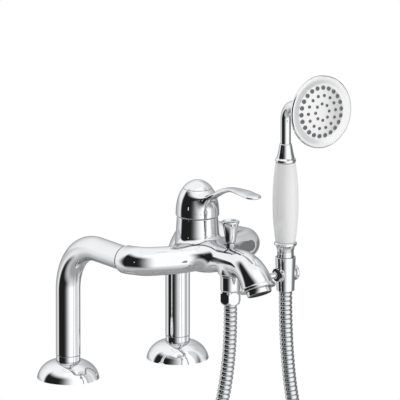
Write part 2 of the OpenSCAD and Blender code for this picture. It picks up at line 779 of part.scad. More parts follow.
module diverter_seal() {
    r = valve_bore_r - valve_clear;
    color("black") at_div() translate([0, 0, valve_z + valve_h / 2]) rotate_extrude() intersection() {
        translate([r, 0]) circle(valve_ring_r);
        translate([0, -5]) square([valve_bore_r - rod_clear, 10]);
    }
}

module outlet_stub() {
    color("silver") at_div() difference() {
        union() {
            translate([0, 0, stub_z]) cylinder(h = boss_z - stub_z, r = stub_r);
            translate([0, 0, washer_z]) cylinder(h = stub_z - washer_z, r = thread_r);
        }
        translate([0, 0, washer_z - 1]) cylinder(h = 60, r = stub_bore_r);
        translate([0, 0, cradle_pivot_z - 5]) cylinder(h = 60, r = check_r);
        translate([arm_root_x, 0, cradle_pivot_z]) rotate([0, 90, 0]) cylinder(h = 20, r = arm_r);
    }
}

module check_valve() {
    color("white") at_div() difference() {
        translate([0, 0, cradle_pivot_z - 5]) cylinder(h = boss_z - cradle_pivot_z + 5, r = check_r);
        translate([0, 0, cradle_pivot_z - 2]) cylinder(h = 60, r = check_r - 1.8);
        for (a = [0 : 60 : 300]) rotate([0, 0, a]) translate([3.6, 0, cradle_pivot_z - 6])
            cylinder(h = 60, r = 1.2);
    }
}

module hose_nut() {
    color("silver") at_div() difference() {
        translate([0, 0, hose_nut_z]) rotate([0, 0, 45])
            cylinder(h = stub_z - hose_nut_z, r = nut_af / sqrt(3), $fn = 6);
        translate([0, 0, hose_top_z]) cylinder(h = 40, r = thread_r);
        translate([0, 0, hose_nut_z - 1]) cylinder(h = 40, r = hose_r + 0.2);
    }
}

module hose_washer() {
    color("black") at_div() ring(thread_r, stub_bore_r, tail_z, washer_z);
}

module hose_tail() {
    color("goldenrod") at_div() difference() {
        union() {
            translate([0, 0, hose_top_z]) cylinder(h = tail_flange_t, r = thread_r);
            translate([0, 0, hose_top_z - 10]) cylinder(h = 11, r = hose_bore_r - 0.5);
        }
        translate([0, 0, hose_top_z - 11]) cylinder(h = 40, r = hose_bore_r - 1.3);
    }
}

// The bracket arm: a rod from the outlet stub, flaring into the fixed half of the pivot.
module bracket_arm() {
    x1 = pivot_face_x;
    share = (cradle_pivot_z + spigot_r - sleeve_z0) / sleeve_h;
    tip = cradle_x - liner_r0 - (liner_r1 - liner_r0) * share - spigot_clear;
    color("silver") at_div() translate([0, 0, cradle_pivot_z]) rotate([0, 90, 0]) rotate_extrude() polygon([
        [0, arm_root_x], [arm_r, arm_root_x], [arm_r, x1 - 9], [arm_r + 0.5, x1 - 6], [arm_r + 1.8, x1 - 3],
        [pivot_disc_r - 2.6, x1 - 1.2], [pivot_disc_r - 1.6, x1 - 0.4], [pivot_disc_r - 1.6, x1],
        [spigot_r, x1], [spigot_r, tip], [0, tip]]);
}

module friction_ring() {
    color("black") at_div() translate([pivot_face_x, 0, cradle_pivot_z]) rotate([0, 90, 0]) difference() {
        cylinder(h = friction_gap - spigot_clear, r = pivot_disc_r - 2);
        translate([0, 0, -1]) cylinder(h = 5, r = spigot_r);
    }
}

module cradle_outer() {
    rotate_extrude() polygon([[0, sleeve_z0], [sleeve_r0 - 0.5, sleeve_z0], [sleeve_r0, sleeve_z0 + 0.5],
        [sleeve_r1, sleeve_z1 - 0.5], [sleeve_r1 - 0.5, sleeve_z1], [0, sleeve_z1]]);
}

module cradle_sleeve() {
    color("silver") at_hand() difference() {
        union() {
            cradle_outer();
            translate([-pivot_disc_x, 0, cradle_pivot_z]) rotate([0, 90, 0]) rotate_extrude() polygon([
                [0, 0], [pivot_disc_r - 0.8, 0], [pivot_disc_r, 0.8], [pivot_disc_r, 2.6],
                [pivot_disc_r - 1.4, 4.4], [pivot_disc_r - 1.4, 2 * pivot_disc_x - 4.4],
                [pivot_disc_r, 2 * pivot_disc_x - 2.6],
                [pivot_disc_r, 2 * pivot_disc_x], [0, 2 * pivot_disc_x]]);
        }
        translate([0, 0, sleeve_z0]) cylinder(h = sleeve_h, r1 = liner_r0, r2 = liner_r1);
        translate([0, 0, sleeve_z0 - 10]) cylinder(h = 10.1, r = liner_r0);
        translate([0, 0, sleeve_z1 - 0.1]) cylinder(h = 10, r = liner_r1);
        translate([-pivot_disc_x - 1, 0, cradle_pivot_z]) rotate([0, 90, 0])
            cylinder(h = spigot_in + 1, r = spigot_r + spigot_clear);
    }
}

module cradle_liner() {
    color("dimgray") at_hand() difference() {
        translate([0, 0, sleeve_z0]) cylinder(h = sleeve_h, r1 = liner_r0, r2 = liner_r1);
        translate([0, 0, sleeve_z0])
            cylinder(h = sleeve_h, r1 = liner_r0 - liner_wall, r2 = liner_r1 - liner_wall);
    }
}

module cradle_cap() {
    r = pivot_disc_r;
    color("silver") at_hand() translate([pivot_disc_x, 0, cradle_pivot_z]) rotate([0, 90, 0])
        rotate_extrude() polygon([[0, 0], [r - 0.6, 0], [r - 0.9, 0.9], [r - 3, 2.1], [r - 6, 2.8], [0, 3]]);
}

module hose_cone() {
    k = (cone_r1 - cone_r0) / sleeve_h;
    color("silver") at_hand() difference() {
        rotate_extrude() polygon([[0, sleeve_z0 + 1], [cone_r0 + k, sleeve_z0 + 1],
            [cone_r1 - k, sleeve_z1 - 1], [ferrule_neck_r, cone_top_z - 1],
            [ferrule_neck_r, cone_top_z], [0, cone_top_z]]);
        translate([0, 0, sleeve_z0]) cylinder(h = 12, r = hose_r + 0.1);
        translate([0, 0, sleeve_z0]) cylinder(h = 60, r = core_r);
        translate([0, 0, cone_top_z - 8]) cylinder(h = 20, r = core_r + 1.6);
    }
}

module cone_washer() {
    color("black") at_hand() ring(core_r + 1.6, core_r - 1.2, cone_top_z - 8, cone_top_z - 6);
}

module lower_ferrule() {
    color("silver") at_hand() difference() {
        rotate_extrude() union() {
            polygon([[0, cone_top_z], [ferrule_neck_r, cone_top_z], [ferrule_neck_r + 0.1, grip_z0 - 7],
                [ferrule_neck_r + 1.2, grip_z0 - 4.6], [ferrule_bead_r - 1.4, grip_z0 - 3.4],
                [ferrule_bead_r - 1.4, grip_z0], [0, grip_z0]]);
            translate([ferrule_bead_r - 1.7, grip_z0 - 1.7]) circle(1.7);
        }
        translate([0, 0, cone_top_z - 1]) cylinder(h = 40, r = core_r + 1.6);
    }
}

module grip() {
    zm = (grip_z0 + grip_z1) / 2;
    color("white") at_hand() rotate_extrude() difference() {
        intersection() {
            translate([grip_mid_r - grip_arc, zm]) circle(grip_arc, $fn = 1800);
            translate([grip_bore_r, grip_z0]) square([20, grip_z1 - grip_z0]);
        }
    }
}

module core_tube() {
    color("gray") at_hand() difference() {
        union() {
            translate([0, 0, cone_top_z - 6]) cylinder(h = grip_z0 - cone_top_z + 6, r = core_r + 1.6);
            translate([0, 0, grip_z0]) cylinder(h = ferrule_top_z - 4 - grip_z0, r = core_r);
        }
        translate([0, 0, cone_top_z - 10]) cylinder(h = 250, r = core_r - 1.2);
    }
}

module upper_ferrule() {
    color("silver") at_hand() difference() {
        rotate_extrude() union() {
            polygon([[0, grip_z1], [top_bead_r - 1.2, grip_z1], [top_bead_r - 1, grip_z1 + 5],
                [top_bead_r - 2.4, grip_z1 + 9], [neck_r + 2.2, grip_z1 + 14],
                [neck_r + 0.7, ferrule_top_z - 3], [neck_r + 0.4, ferrule_top_z], [0, ferrule_top_z]]);
            translate([top_bead_r - 2.4, grip_z1 + 2.4]) circle(2.4);
        }
        translate([0, 0, grip_z1 - 1]) cylinder(h = 40, r = core_r);
        translate([0, 0, ferrule_top_z - 4]) cylinder(h = 10, r = neck_r);
    }
}

module neck_path(r, over) {
    at_hand() translate([0, 0, ferrule_top_z - 4 - over])
        cylinder(h = neck_turn_z - ferrule_top_z + 4 + over, r = r);
    translate([cradle_x, 0, 0]) {
        bend(div_y + neck_bend_r, neck_turn_z, neck_bend_r, r - fuse, 89 + face_tilt, 92 - face_tilt);
        bar(neck_end_y, neck_end_z, face_tilt, (hub_y + 2 - neck_end_y) / cos(face_tilt) + over, r, r);
    }
}

module neck() {
    color("silver") difference() {
        neck_path(neck_r, 0);
        neck_path(neck_r - neck_wall, 1);
    }
}

// The head's shallow back, from its hub to its rim.
function head_back(up) = [for (p = [[26.5, 3], [18.5, 6], [10.5, 9.4], [4.5, 12.6]])
    [head_r - p[0], p[1] - head_depth + up]];

module head_shell() {
    d = head_depth;
    w = head_wall;
    color("silver") at_face() difference() {
        rotate_extrude() polygon(concat([[0, -d - 4], [neck_r + 2, -d - 4], [neck_r + 3, -d]], head_back(0),
            [[head_r - 1.2, -4.6], [head_r - 1.2, -2], [0, -2]]));
        rotate_extrude() polygon(concat([[0, -d + w], [neck_r + 3, -d + w]], head_back(w),
            [[head_r - 2.9, -4], [head_r - 2.9, 0], [0, 0]]));
        translate([0, 0, -d - 5]) cylinder(h = 20, r = neck_r - neck_wall);
        translate([0, 0, -d - 5]) cylinder(h = 3 - 0.01 * w, r = neck_r);
    }
}

// The rim's lip is a half round that fills the room between the face and the head's edge.
rim_round = (head_r - face_r - rim_clear) / 2;

module head_rim() {
    color("silver") at_face() rotate_extrude() difference() {
        union() {
            translate([face_r + rim_clear, -4]) square([head_r - face_r - rim_clear - 1, 4.6]);
            translate([face_r + rim_clear, -2]) square([head_r - face_r - rim_clear, 2]);
            translate([head_r - 1.2, -4]) square([1.2, 3]);
            translate([head_r - rim_round, 0.6 - rim_round]) circle(rim_round);
        }
        translate([0, -6]) square([head_r - 1.2, 4]);
    }
}

function face_top(r) = r > field_r ? -3.2 + 2.9 * ease((r - field_r) / (face_r - field_r))
    : -3.2 + 2.4 * (1 - r * r / (field_r * field_r));

function tip_z(r) = face_top(r) + nozzle_out;

module face_plate() {
    color("white") at_face() difference() {
        rotate_extrude() polygon(concat(
            [[0, -6], [head_r - 8.5, -6], [head_r - 3.4, -3.9], [head_r - 3.4, -2], [face_r, -2]],
            [for (i = [0 : 6]) let (r = face_r - (face_r - field_r) * i / 6) [r, face_top(r)]],
            [for (i = [1 : 6]) let (r = field_r * (1 - i / 6)) [r, face_top(r)]]));
        nozzle_bores();
    }
}

module nozzle_set(n, big, small, z0, z1) {
    for (i = [0 : n - 1]) rotate([0, 0, 360 * i / n]) translate([big, 0, z0])
        cylinder(h = z1 - z0, r = small, $fn = 24);
}

module nozzle_bores() {
    nozzle_set(nozzle_outer_n, nozzle_outer_ring, nozzle_outer_r, -7, 2);
    nozzle_set(nozzle_middle_n, nozzle_middle_ring, nozzle_inner_r, -7, 2);
    nozzle_set(nozzle_inner_n, nozzle_inner_ring, nozzle_inner_r, -7, 2);
}

module nozzles() {
    color("gray") at_face() {
        nozzle_set(nozzle_outer_n, nozzle_outer_ring, nozzle_outer_r, -6, tip_z(nozzle_outer_ring));
        nozzle_set(nozzle_middle_n, nozzle_middle_ring, nozzle_inner_r, -6, tip_z(nozzle_middle_ring));
        nozzle_set(nozzle_inner_n, nozzle_inner_ring, nozzle_inner_r, -6, tip_z(nozzle_inner_ring));
    }
}

module face_seal() {
    color("black") at_face() ring(head_r - 2.9, head_r - 3.4, -4, -2);
}

// The hose. Each route is one curve: straight ends, an eased drop, and a helix for the coil.
coil_y_in = coil_set - div_y;
coil_y_out = coil_y_in - coil_pitch * (coil_turns + 0.5);
stretch_end_z = coil_z + hose_d;
function unit(v) = v / norm(v);
function bez(p, t) = pow(1 - t, 3) * p[0] + 3 * t * pow(1 - t, 2) * p[1]
    + 3 * t * t * (1 - t) * p[2] + t * t * t * p[3];
fall_line = [[0, -div_y, hose_top_z - hose_d], [0, -div_y, -40], [coil_x - coil_r, coil_y_in, -60],
    [coil_x - coil_r, coil_y_in, stretch_end_z + hose_d]];
rise_top_z = sleeve_z0 + 12;
rise_line = [[cradle_x, -div_y, rise_top_z - hose_d], [cradle_x, -div_y, -100],
    [coil_x + coil_r, coil_y_out, -90], [coil_x + coil_r, coil_y_out, stretch_end_z + hose_d]];
coil_sweep = 360 * (coil_turns + 0.5);
function coil_at(a) = [coil_x - coil_r * cos(a), coil_y_in - coil_pitch * a / 360, coil_z - coil_r * sin(a)];

// Points at an even spacing along a polyline.
function sums(p, i = 1, acc = [0]) = i >= len(p) ? acc
    : sums(p, i + 1, concat(acc, [acc[i - 1] + norm(p[i] - p[i - 1])]));
function find(s, d, i) = i >= len(s) - 2 || s[i + 1] >= d ? i : find(s, d, i + 1);
function along(p, s, d) = let (i = find(s, d, 0), f = (d - s[i]) / (s[i + 1] - s[i]))
    p[i] + f * (p[i + 1] - p[i]);
function even(p, n) = let (s = sums(p), l = s[len(s) - 1])
    [for (i = [0 : n]) i == n ? p[len(p) - 1] : along(p, s, l * i / n)];
function total(p) = let (s = sums(p)) s[len(s) - 1];

function drop_points(p, top, low) = concat([top], [for (i = [0 : 40]) bez(p, i / 40)], [low]);
fall_points = drop_points(fall_line, [0, -div_y, hose_top_z], [coil_x - coil_r, coil_y_in, stretch_end_z]);
rise_points = drop_points(rise_line, [cradle_x, -div_y, rise_top_z],
    [coil_x + coil_r, coil_y_out, stretch_end_z]);
coil_points = concat([[coil_x - coil_r, coil_y_in, stretch_end_z]],
    [for (i = [0 : 72]) coil_at(coil_sweep * i / 72)], [[coil_x + coil_r, coil_y_out, stretch_end_z]]);
hose_len = total(fall_points) + total(rise_points) + total(coil_points);
echo(hose_length = hose_len, strands = [total(fall_points), total(rise_points)], coil = total(coil_points));
coil_even = even(coil_points, 144);
coil_gap = min([for (i = [0 : 144]) for (j = [i + 12 : 144]) norm(coil_even[i] - coil_even[j])]) - hose_d;
echo(coil_least_gap = coil_gap);

sides = 8;
function heading(p, i) = let (n = len(p) - 1)
    i == 0 || i == n ? [0, 0, sign(p[min(i + 1, n)][2] - p[max(i - 1, 0)][2])] : unit(p[i + 1] - p[i - 1]);
function hoop(c, t, r) = let (a = unit(cross([0, 1, 0], t)), b = cross(t, a))
    [for (k = [0 : sides - 1]) c + r * (cos(360 * k / sides) * a + sin(360 * k / sides) * b)];
function flat(l) = [for (x = l) for (y = x) y];
function skin(base, n, turn) = [for (i = [0 : n - 1]) for (k = [0 : sides - 1])
    let (a = base + i * sides + k, b = base + i * sides + (k + 1) % sides, c = a + sides, d = b + sides)
    each turn ? [[a, b, d], [a, d, c]] : [[a, d, b], [a, c, d]]];
function lid(o, q, turn) = [for (k = [0 : sides - 1])
    let (a = o + k, b = o + (k + 1) % sides, c = q + k, d = q + (k + 1) % sides)
    each turn ? [[a, d, b], [a, c, d]] : [[a, b, d], [a, d, c]]];

// A ribbed tube with its bore: two rings to a rib outside and one ring to two ribs inside.
module ribbed(points, ribs) {
    n = 2 * ribs;
    m = floor(ribs / 2);
    line = even(points, n);
    bore = even(points, m);
    outer = flat([for (i = [0 : n])
        hoop(line[i], heading(line, i), hose_r - (i % 2 == 0 ? hose_groove : 0))]);
    inner = flat([for (i = [0 : m]) hoop(bore[i], heading(bore, i), hose_bore_r)]);
    q = len(outer);
    polyhedron(points = concat(outer, inner), faces = concat(skin(0, n, true), skin(q, m, false),
        lid(0, q, true), lid(n * sides, q + m * sides, false)));
}

module hose_fall() {
    color("lightgray") ribbed(fall_points, round(total(fall_points) / rib_pitch));
}

module hose_coil() {
    color("lightgray") ribbed(coil_points, coil_ribs);
}

module hose_rise() {
    color("lightgray") ribbed(rise_points, round(total(rise_points) / rib_pitch));
}

// A strap round the two runs at the coil's lowest point.
module hose_tie() {
    y = coil_at(90)[1] - coil_pitch / 2;
    color("black") translate([coil_x - 4, y, coil_z - coil_r]) rotate([0, 90, 0])
        linear_extrude(height = 8) difference() {
        union() {
            square([hose_d + 3, coil_pitch], center = true);
            for (s = [-1, 1]) translate([0, s * coil_pitch / 2]) circle(hose_r + 1.5);
        }
        square([hose_d + 0.4, coil_pitch], center = true);
        for (s = [-1, 1]) translate([0, s * coil_pitch / 2]) circle(hose_r + 0.2);
    }
}

foot_cover(-1);  // foot_cover_left
foot_cover(1);  // foot_cover_right
inlet_bush(-1);  // inlet_bush_left
inlet_bush(1);  // inlet_bush_right
leg_tube(-1);  // leg_tube_left
leg_tube(1);  // leg_tube_right
union_nipple(-1);  // union_nipple_left
union_nipple(1);  // union_nipple_right
union_seal(-1);  // union_seal_left
union_seal(1);  // union_seal_right
mixer_body();
cartridge_case();
cartridge_seal();
fixed_disc();
retaining_nut();
rotor();
pivot_pin();
moving_disc();
stem();
lever_handle();
handle_screw();
handle_top_cap();
aerator_shell();
aerator_insert();
aerator_seal();
diverter_gland();
diverter_rod();
diverter_knob();
diverter_valve();
diverter_seal();
outlet_stub();
check_valve();
hose_nut();
hose_washer();
hose_tail();
hose_fall();
hose_coil();
hose_rise();
hose_tie();
bracket_arm();
friction_ring();
cradle_sleeve();
cradle_liner();
cradle_cap();
hose_cone();
cone_washer();
lower_ferrule();
grip();
core_tube();
upper_ferrule();
neck();
head_shell();
head_rim();
face_plate();
nozzles();
face_seal();
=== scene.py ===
"""Bath shower mixer: chromed two-leg mixer with a lever, a diverter and a white-handled hand shower."""
import json
import logging
import math
from dataclasses import dataclass, field
from enum import Enum
from typing import Callable, Sequence

import bpy
import numpy as np
from mathutils import Matrix, Vector


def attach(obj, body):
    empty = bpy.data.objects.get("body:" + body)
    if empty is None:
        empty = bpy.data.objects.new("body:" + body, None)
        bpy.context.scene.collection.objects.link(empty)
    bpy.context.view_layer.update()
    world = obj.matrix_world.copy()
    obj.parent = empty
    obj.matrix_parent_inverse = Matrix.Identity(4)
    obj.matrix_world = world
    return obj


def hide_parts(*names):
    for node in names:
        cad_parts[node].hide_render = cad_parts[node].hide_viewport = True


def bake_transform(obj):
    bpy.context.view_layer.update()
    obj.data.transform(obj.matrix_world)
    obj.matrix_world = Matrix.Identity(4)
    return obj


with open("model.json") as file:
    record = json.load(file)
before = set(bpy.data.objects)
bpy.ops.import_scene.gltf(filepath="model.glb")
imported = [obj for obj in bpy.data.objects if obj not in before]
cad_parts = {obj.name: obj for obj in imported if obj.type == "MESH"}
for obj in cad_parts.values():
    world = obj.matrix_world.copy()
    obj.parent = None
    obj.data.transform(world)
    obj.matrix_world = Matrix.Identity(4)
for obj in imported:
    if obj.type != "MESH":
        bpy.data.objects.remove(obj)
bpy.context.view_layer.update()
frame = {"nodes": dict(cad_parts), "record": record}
LOG = logging.getLogger("mixer")
MM = 0.001
Pair = tuple[float, float]
Point = tuple[float, float, float]
Profile = list[Pair]
Outline = Sequence[tuple[float, ...]]
Field = Callable[[np.ndarray], np.ndarray]

# Places that several pieces share, in millimetres from the middle of the deck. The spout points to -Y.
INLET_SPACING = 150.0
ARM_Z = 159.6
UNION_Y = 112.0
CARTRIDGE_Y = 143.5
OUTLET_Y = 206.5
CRADLE_X = 75.2
# How many parts a full turn on the lathe has, and past how many degrees an edge stays sharp.
TURN_STEPS = 96
SHARP = 40.0
TUBE_SHARP = 50.0


class Body(str, Enum):
    """The rigid bodies that the new pieces ride on."""

    BASE = "base"
    HANDLE = "handle"
    DIVERTER = "diverter"
    CRADLE = "cradle"
    HANDSET = "handset"


def linear(code: str) -> tuple[float, float, float, float]:
    """Turns an sRGB hex colour into linear RGBA.

    Args:
        code: Six hex digits, with or without a leading hash.

    Returns:
        Linear red, green, blue and an alpha of one.
    """
    parts = [int(code.lstrip("#")[i:i + 2], 16) / 255 for i in (0, 2, 4)]
    flat = [c / 12.92 if c <= 0.04045 else ((c + 0.055) / 1.055) ** 2.4 for c in parts]
    return (flat[0], flat[1], flat[2], 1.0)


def add_node(tree: bpy.types.NodeTree, kind: str, inputs: dict | None = None, **settings) -> bpy.types.Node:
    """Adds one node with its settings and links.

    Args:
        tree: The node tree that takes the node.
        kind: The node's type.
        inputs: Socket name or index to a value, an output socket, or a node that gives its first output.
        settings: Attributes of the node itself.

    Returns:
        The new node.
    """
    node = tree.nodes.new(kind)
    for name, value in settings.items():
        setattr(node, name, value)
    for key, value in (inputs or {}).items():
        if isinstance(value, bpy.types.Node):
            value = value.outputs[0]
        if isinstance(value, bpy.types.NodeSocket):
            tree.links.new(value, node.inputs[key])
        else:
            node.inputs[key].default_value = value
    return node


@dataclass(frozen=True)
class Finish:
    """A surface finish: what the material is, and what its making leaves on it.

    Attributes:
        name: The material's name.
        slot: The record's slot that it belongs to.
        light: The colour where the surface is palest, in sRGB hex.
        dark: The colour where it is darkest.
        metallic: One for a bare metal.
        rough: The roughness at its lowest and highest.
        spot_mm: The size of the patches that colour and roughness vary in.
        bump_mm: The height of the surface's texture.
        grain_mm: The size of the texture's grain.
        coat: The weight of a clear glaze over the colour.
        edge: How much a metal reflects at a glancing angle, in sRGB hex.
    """

    name: str
    slot: str
    light: str
    dark: str
    metallic: float = 0.0
    rough: Pair = (0.3, 0.5)
    spot_mm: float = 20.0
    bump_mm: float = 0.0
    grain_mm: float = 1.0
    coat: float = 0.0
    edge: str = "#FFFFFF"

    def material(self) -> bpy.types.Material:
        """Makes the material, or gives the one already made.

        Returns:
            The node material of this finish.
        """
        made = bpy.data.materials.get(self.name)
        if made:
            return made
        made = bpy.data.materials.new(self.name)
        made.use_nodes = True
        tree = made.node_tree
        shader = tree.nodes["Principled BSDF"]
        where = add_node(tree, "ShaderNodeTexCoord").outputs["Object"]
        patches = add_node(tree, "ShaderNodeTexNoise",
                           {"Vector": where, "Scale": 1 / (self.spot_mm * MM), "Detail": 3.0})
        colour = add_node(tree, "ShaderNodeMix",
                          {"Factor": patches.outputs["Fac"], 6: linear(self.dark), 7: linear(self.light)},
                          data_type="RGBA")
        rough = add_node(tree, "ShaderNodeMapRange",
                         {"Value": patches.outputs["Fac"], "From Min": 0.3, "From Max": 0.7,
                          "To Min": self.rough[0], "To Max": self.rough[1]})
        tree.links.new(colour.outputs[2], shader.inputs["Base Color"])
        tree.links.new(rough.outputs["Result"], shader.inputs["Roughness"])
        shader.inputs["Metallic"].default_value = self.metallic
        shader.inputs["Coat Weight"].default_value = self.coat
        shader.inputs["Specular Tint"].default_value = linear(self.edge)
        shader.inputs["Coat Roughness"].default_value = 0.04
        if self.bump_mm:
            grain = add_node(tree, "ShaderNodeTexNoise",
                             {"Vector": where, "Scale": 1 / (self.grain_mm * MM), "Detail": 2.0})
            bump = add_node(tree, "ShaderNodeBump",
                            {"Height": grain.outputs["Fac"], "Distance": self.bump_mm * MM, "Strength": 1.0})
            tree.links.new(bump.outputs["Normal"], shader.inputs["Normal"])
        return made


# Bright chromium plate over polished brass: a near-perfect mirror with faint wiping marks.
CHROME = Finish("bright_chrome_plate", "chrome", "#F6F7F8", "#EEF0F2", 1.0, (0.015, 0.035), 14.0,
                edge="#A8AAAC")
# The same plate on the spun rim, glancing reflection near black: painted shade darkening the rim's edge.
RIM_CHROME_SHADED_EDGE = Finish("rim_chrome_painted_dark_edge", "chrome", "#F4F5F6", "#ECEEF0", 1.0, (0.02, 0.04), 14.0,
                    edge="#2C2E30")
# The same plate on rolled strip: the hose's turns are less even, so reflections are softer.
HOSE_CHROME = Finish("chromed_strip_hose", "hose_metal", "#ECEEEF", "#DDDFE1", 1.0, (0.03, 0.07), 6.0,
                     edge="#8A8C8E")
# Vitreous white glaze on porcelain: glossy, with a very slight waviness from the kiln.
GLAZE = Finish("white_porcelain_glaze", "grip_ceramic", "#F3F3F4", "#EDEDEE", 0.0, (0.10, 0.16), 30.0,
               0.05, 9.0, 0.6)
# ABS with a satin silver-white plating, as the photo's white-to-grey sheen shows.
FACE_ABS = Finish("satin_white_plate", "face_plastic", "#F4F4F5", "#EDEDEE", 0.75, (0.24, 0.34), 12.0,
                  0.012, 0.9)
# Grey silicone rubber, dull, with a fine moulded skin.
SILICONE = Finish("grey_silicone", "nozzle_rubber", "#7A7D80", "#63666A", 0.0, (0.25, 0.36), 3.0, 0.02, 0.6)
# Black nitrile rubber of seals and washers, matt.
NITRILE = Finish("black_nitrile", "black_rubber", "#1D1D1E", "#121213", 0.0, (0.5, 0.7), 4.0, 0.03, 0.8)
# Dark moulded acetal with a fine spark-eroded grain.
ACETAL = Finish("dark_acetal", "dark_plastic", "#2A2B2D", "#1F2021", 0.0, (0.4, 0.55), 5.0, 0.02, 0.7)
# White moulded acetal of the cartridge, slightly waxy.
WHITE_ACETAL = Finish("white_acetal", "white_plastic", "#E4E4E0", "#DADAD5", 0.0, (0.35, 0.5), 6.0, 0.02, 0.8)
# Lapped alumina, off-white and dense.
ALUMINA = Finish("lapped_alumina", "valve_ceramic", "#E8E6DF", "#DEDCD4", 0.0, (0.2, 0.3), 5.0)
# Turned brass, bright with faint tool marks.
TURNED_BRASS = Finish("turned_brass", "brass", "#C9A65A", "#B8934A", 1.0, (0.22, 0.32), 5.0, 0.01, 0.5)
# Turned stainless steel, grey with faint tool marks.
TURNED_STEEL = Finish("turned_steel", "steel", "#C2C3C5", "#ADAEB0", 1.0, (0.2, 0.3), 4.0, 0.01, 0.5)
# The finish of each slot's CAD nodes.
FINISHES = [CHROME, HOSE_CHROME, GLAZE, FACE_ABS, SILICONE, NITRILE, ACETAL, WHITE_ACETAL, ALUMINA,
            TURNED_BRASS, TURNED_STEEL]


def at(x: float, y: float, z: float) -> Matrix:
    """A place on the part, in millimetres."""
    return Matrix.Translation((x, y, z))


def arc(centre: Pair, radius: float, start: float, end: float, steps: int) -> Profile:
    """Points along an arc.

    Args:
        centre: The arc's centre.
        radius: Its radius.
        start: The first angle in degrees.
        end: The last angle in degrees.
        steps: How many parts the arc has.

    Returns:
        The points from start to end, both included.
    """
    turns = [math.radians(start + (end - start) * i / steps) for i in range(steps + 1)]
    return [(centre[0] + radius * math.cos(a), centre[1] + radius * math.sin(a)) for a in turns]


def rounded(corners: Outline, steps: int = 6) -> Profile:
    """An open outline with its corners rounded.

    Args:
        corners: Points as (r, z) or, where the corner is rounded, (r, z, radius).
        steps: Parts of each corner's arc.

    Returns:
        The outline's points.
    """
    out: Profile = []
    for i, corner in enumerate(corners):
        here = Vector(corner[:2])
        if len(corner) < 3 or i in (0, len(corners) - 1):
            out.append((here.x, here.y))
            continue
        back, ahead = Vector(corners[i - 1][:2]) - here, Vector(corners[i + 1][:2]) - here
        half = back.angle(ahead) / 2
        cut = min(corner[2] / math.tan(half), 0.49 * back.length, 0.49 * ahead.length)
        first, last = here + back.normalized() * cut, here + ahead.normalized() * cut
        for k in range(steps + 1):
            t = k / steps
            spot = first * (1 - t) ** 2 + here * 2 * t * (1 - t) + last * t * t
            out.append((spot.x, spot.y))
    return out


def flowing(keys: Outline, steps: int = 6) -> list[tuple[float, ...]]:
    """A smooth curve through a few points.

    Args:
        keys: The points that the curve goes through, each with as many values as the others.
        steps: Parts between two of them.

    Returns:
        The curve's points.
    """
    ends = [keys[0], *keys, keys[-1]]
    out: list[tuple[float, ...]] = []
    for a, b, c, d in zip(ends, ends[1:], ends[2:], ends[3:]):
        for k in range(steps):
            t = k / steps
            out.append(tuple(0.5 * (2 * q + (r - p) * t + (2 * p - 5 * q + 4 * r - s) * t * t
                                    + (3 * q - p - 3 * r + s) * t ** 3) for p, q, r, s in zip(a, b, c, d)))
    out.append(tuple(keys[-1]))
    return out


def ease(value: np.ndarray, start: float, end: float) -> np.ndarray:
    """Runs from nought at start to one at end, level at both."""
    t = np.clip((value - start) / (end - start), 0, 1)
    return t * t * (3 - 2 * t)


def smooth_min(a: np.ndarray, b: np.ndarray, k: float | np.ndarray) -> np.ndarray:
    """Joins two distance fields with a fillet about k wide."""
    h = np.maximum(k - np.abs(a - b), 0) / k
    return np.minimum(a, b) - h * h * k / 4


def smooth_max(a: np.ndarray, b: np.ndarray, k: float) -> np.ndarray:
    """Cuts one distance field by another with an edge rounded about k wide."""
    return -smooth_min(-a, -b, k)


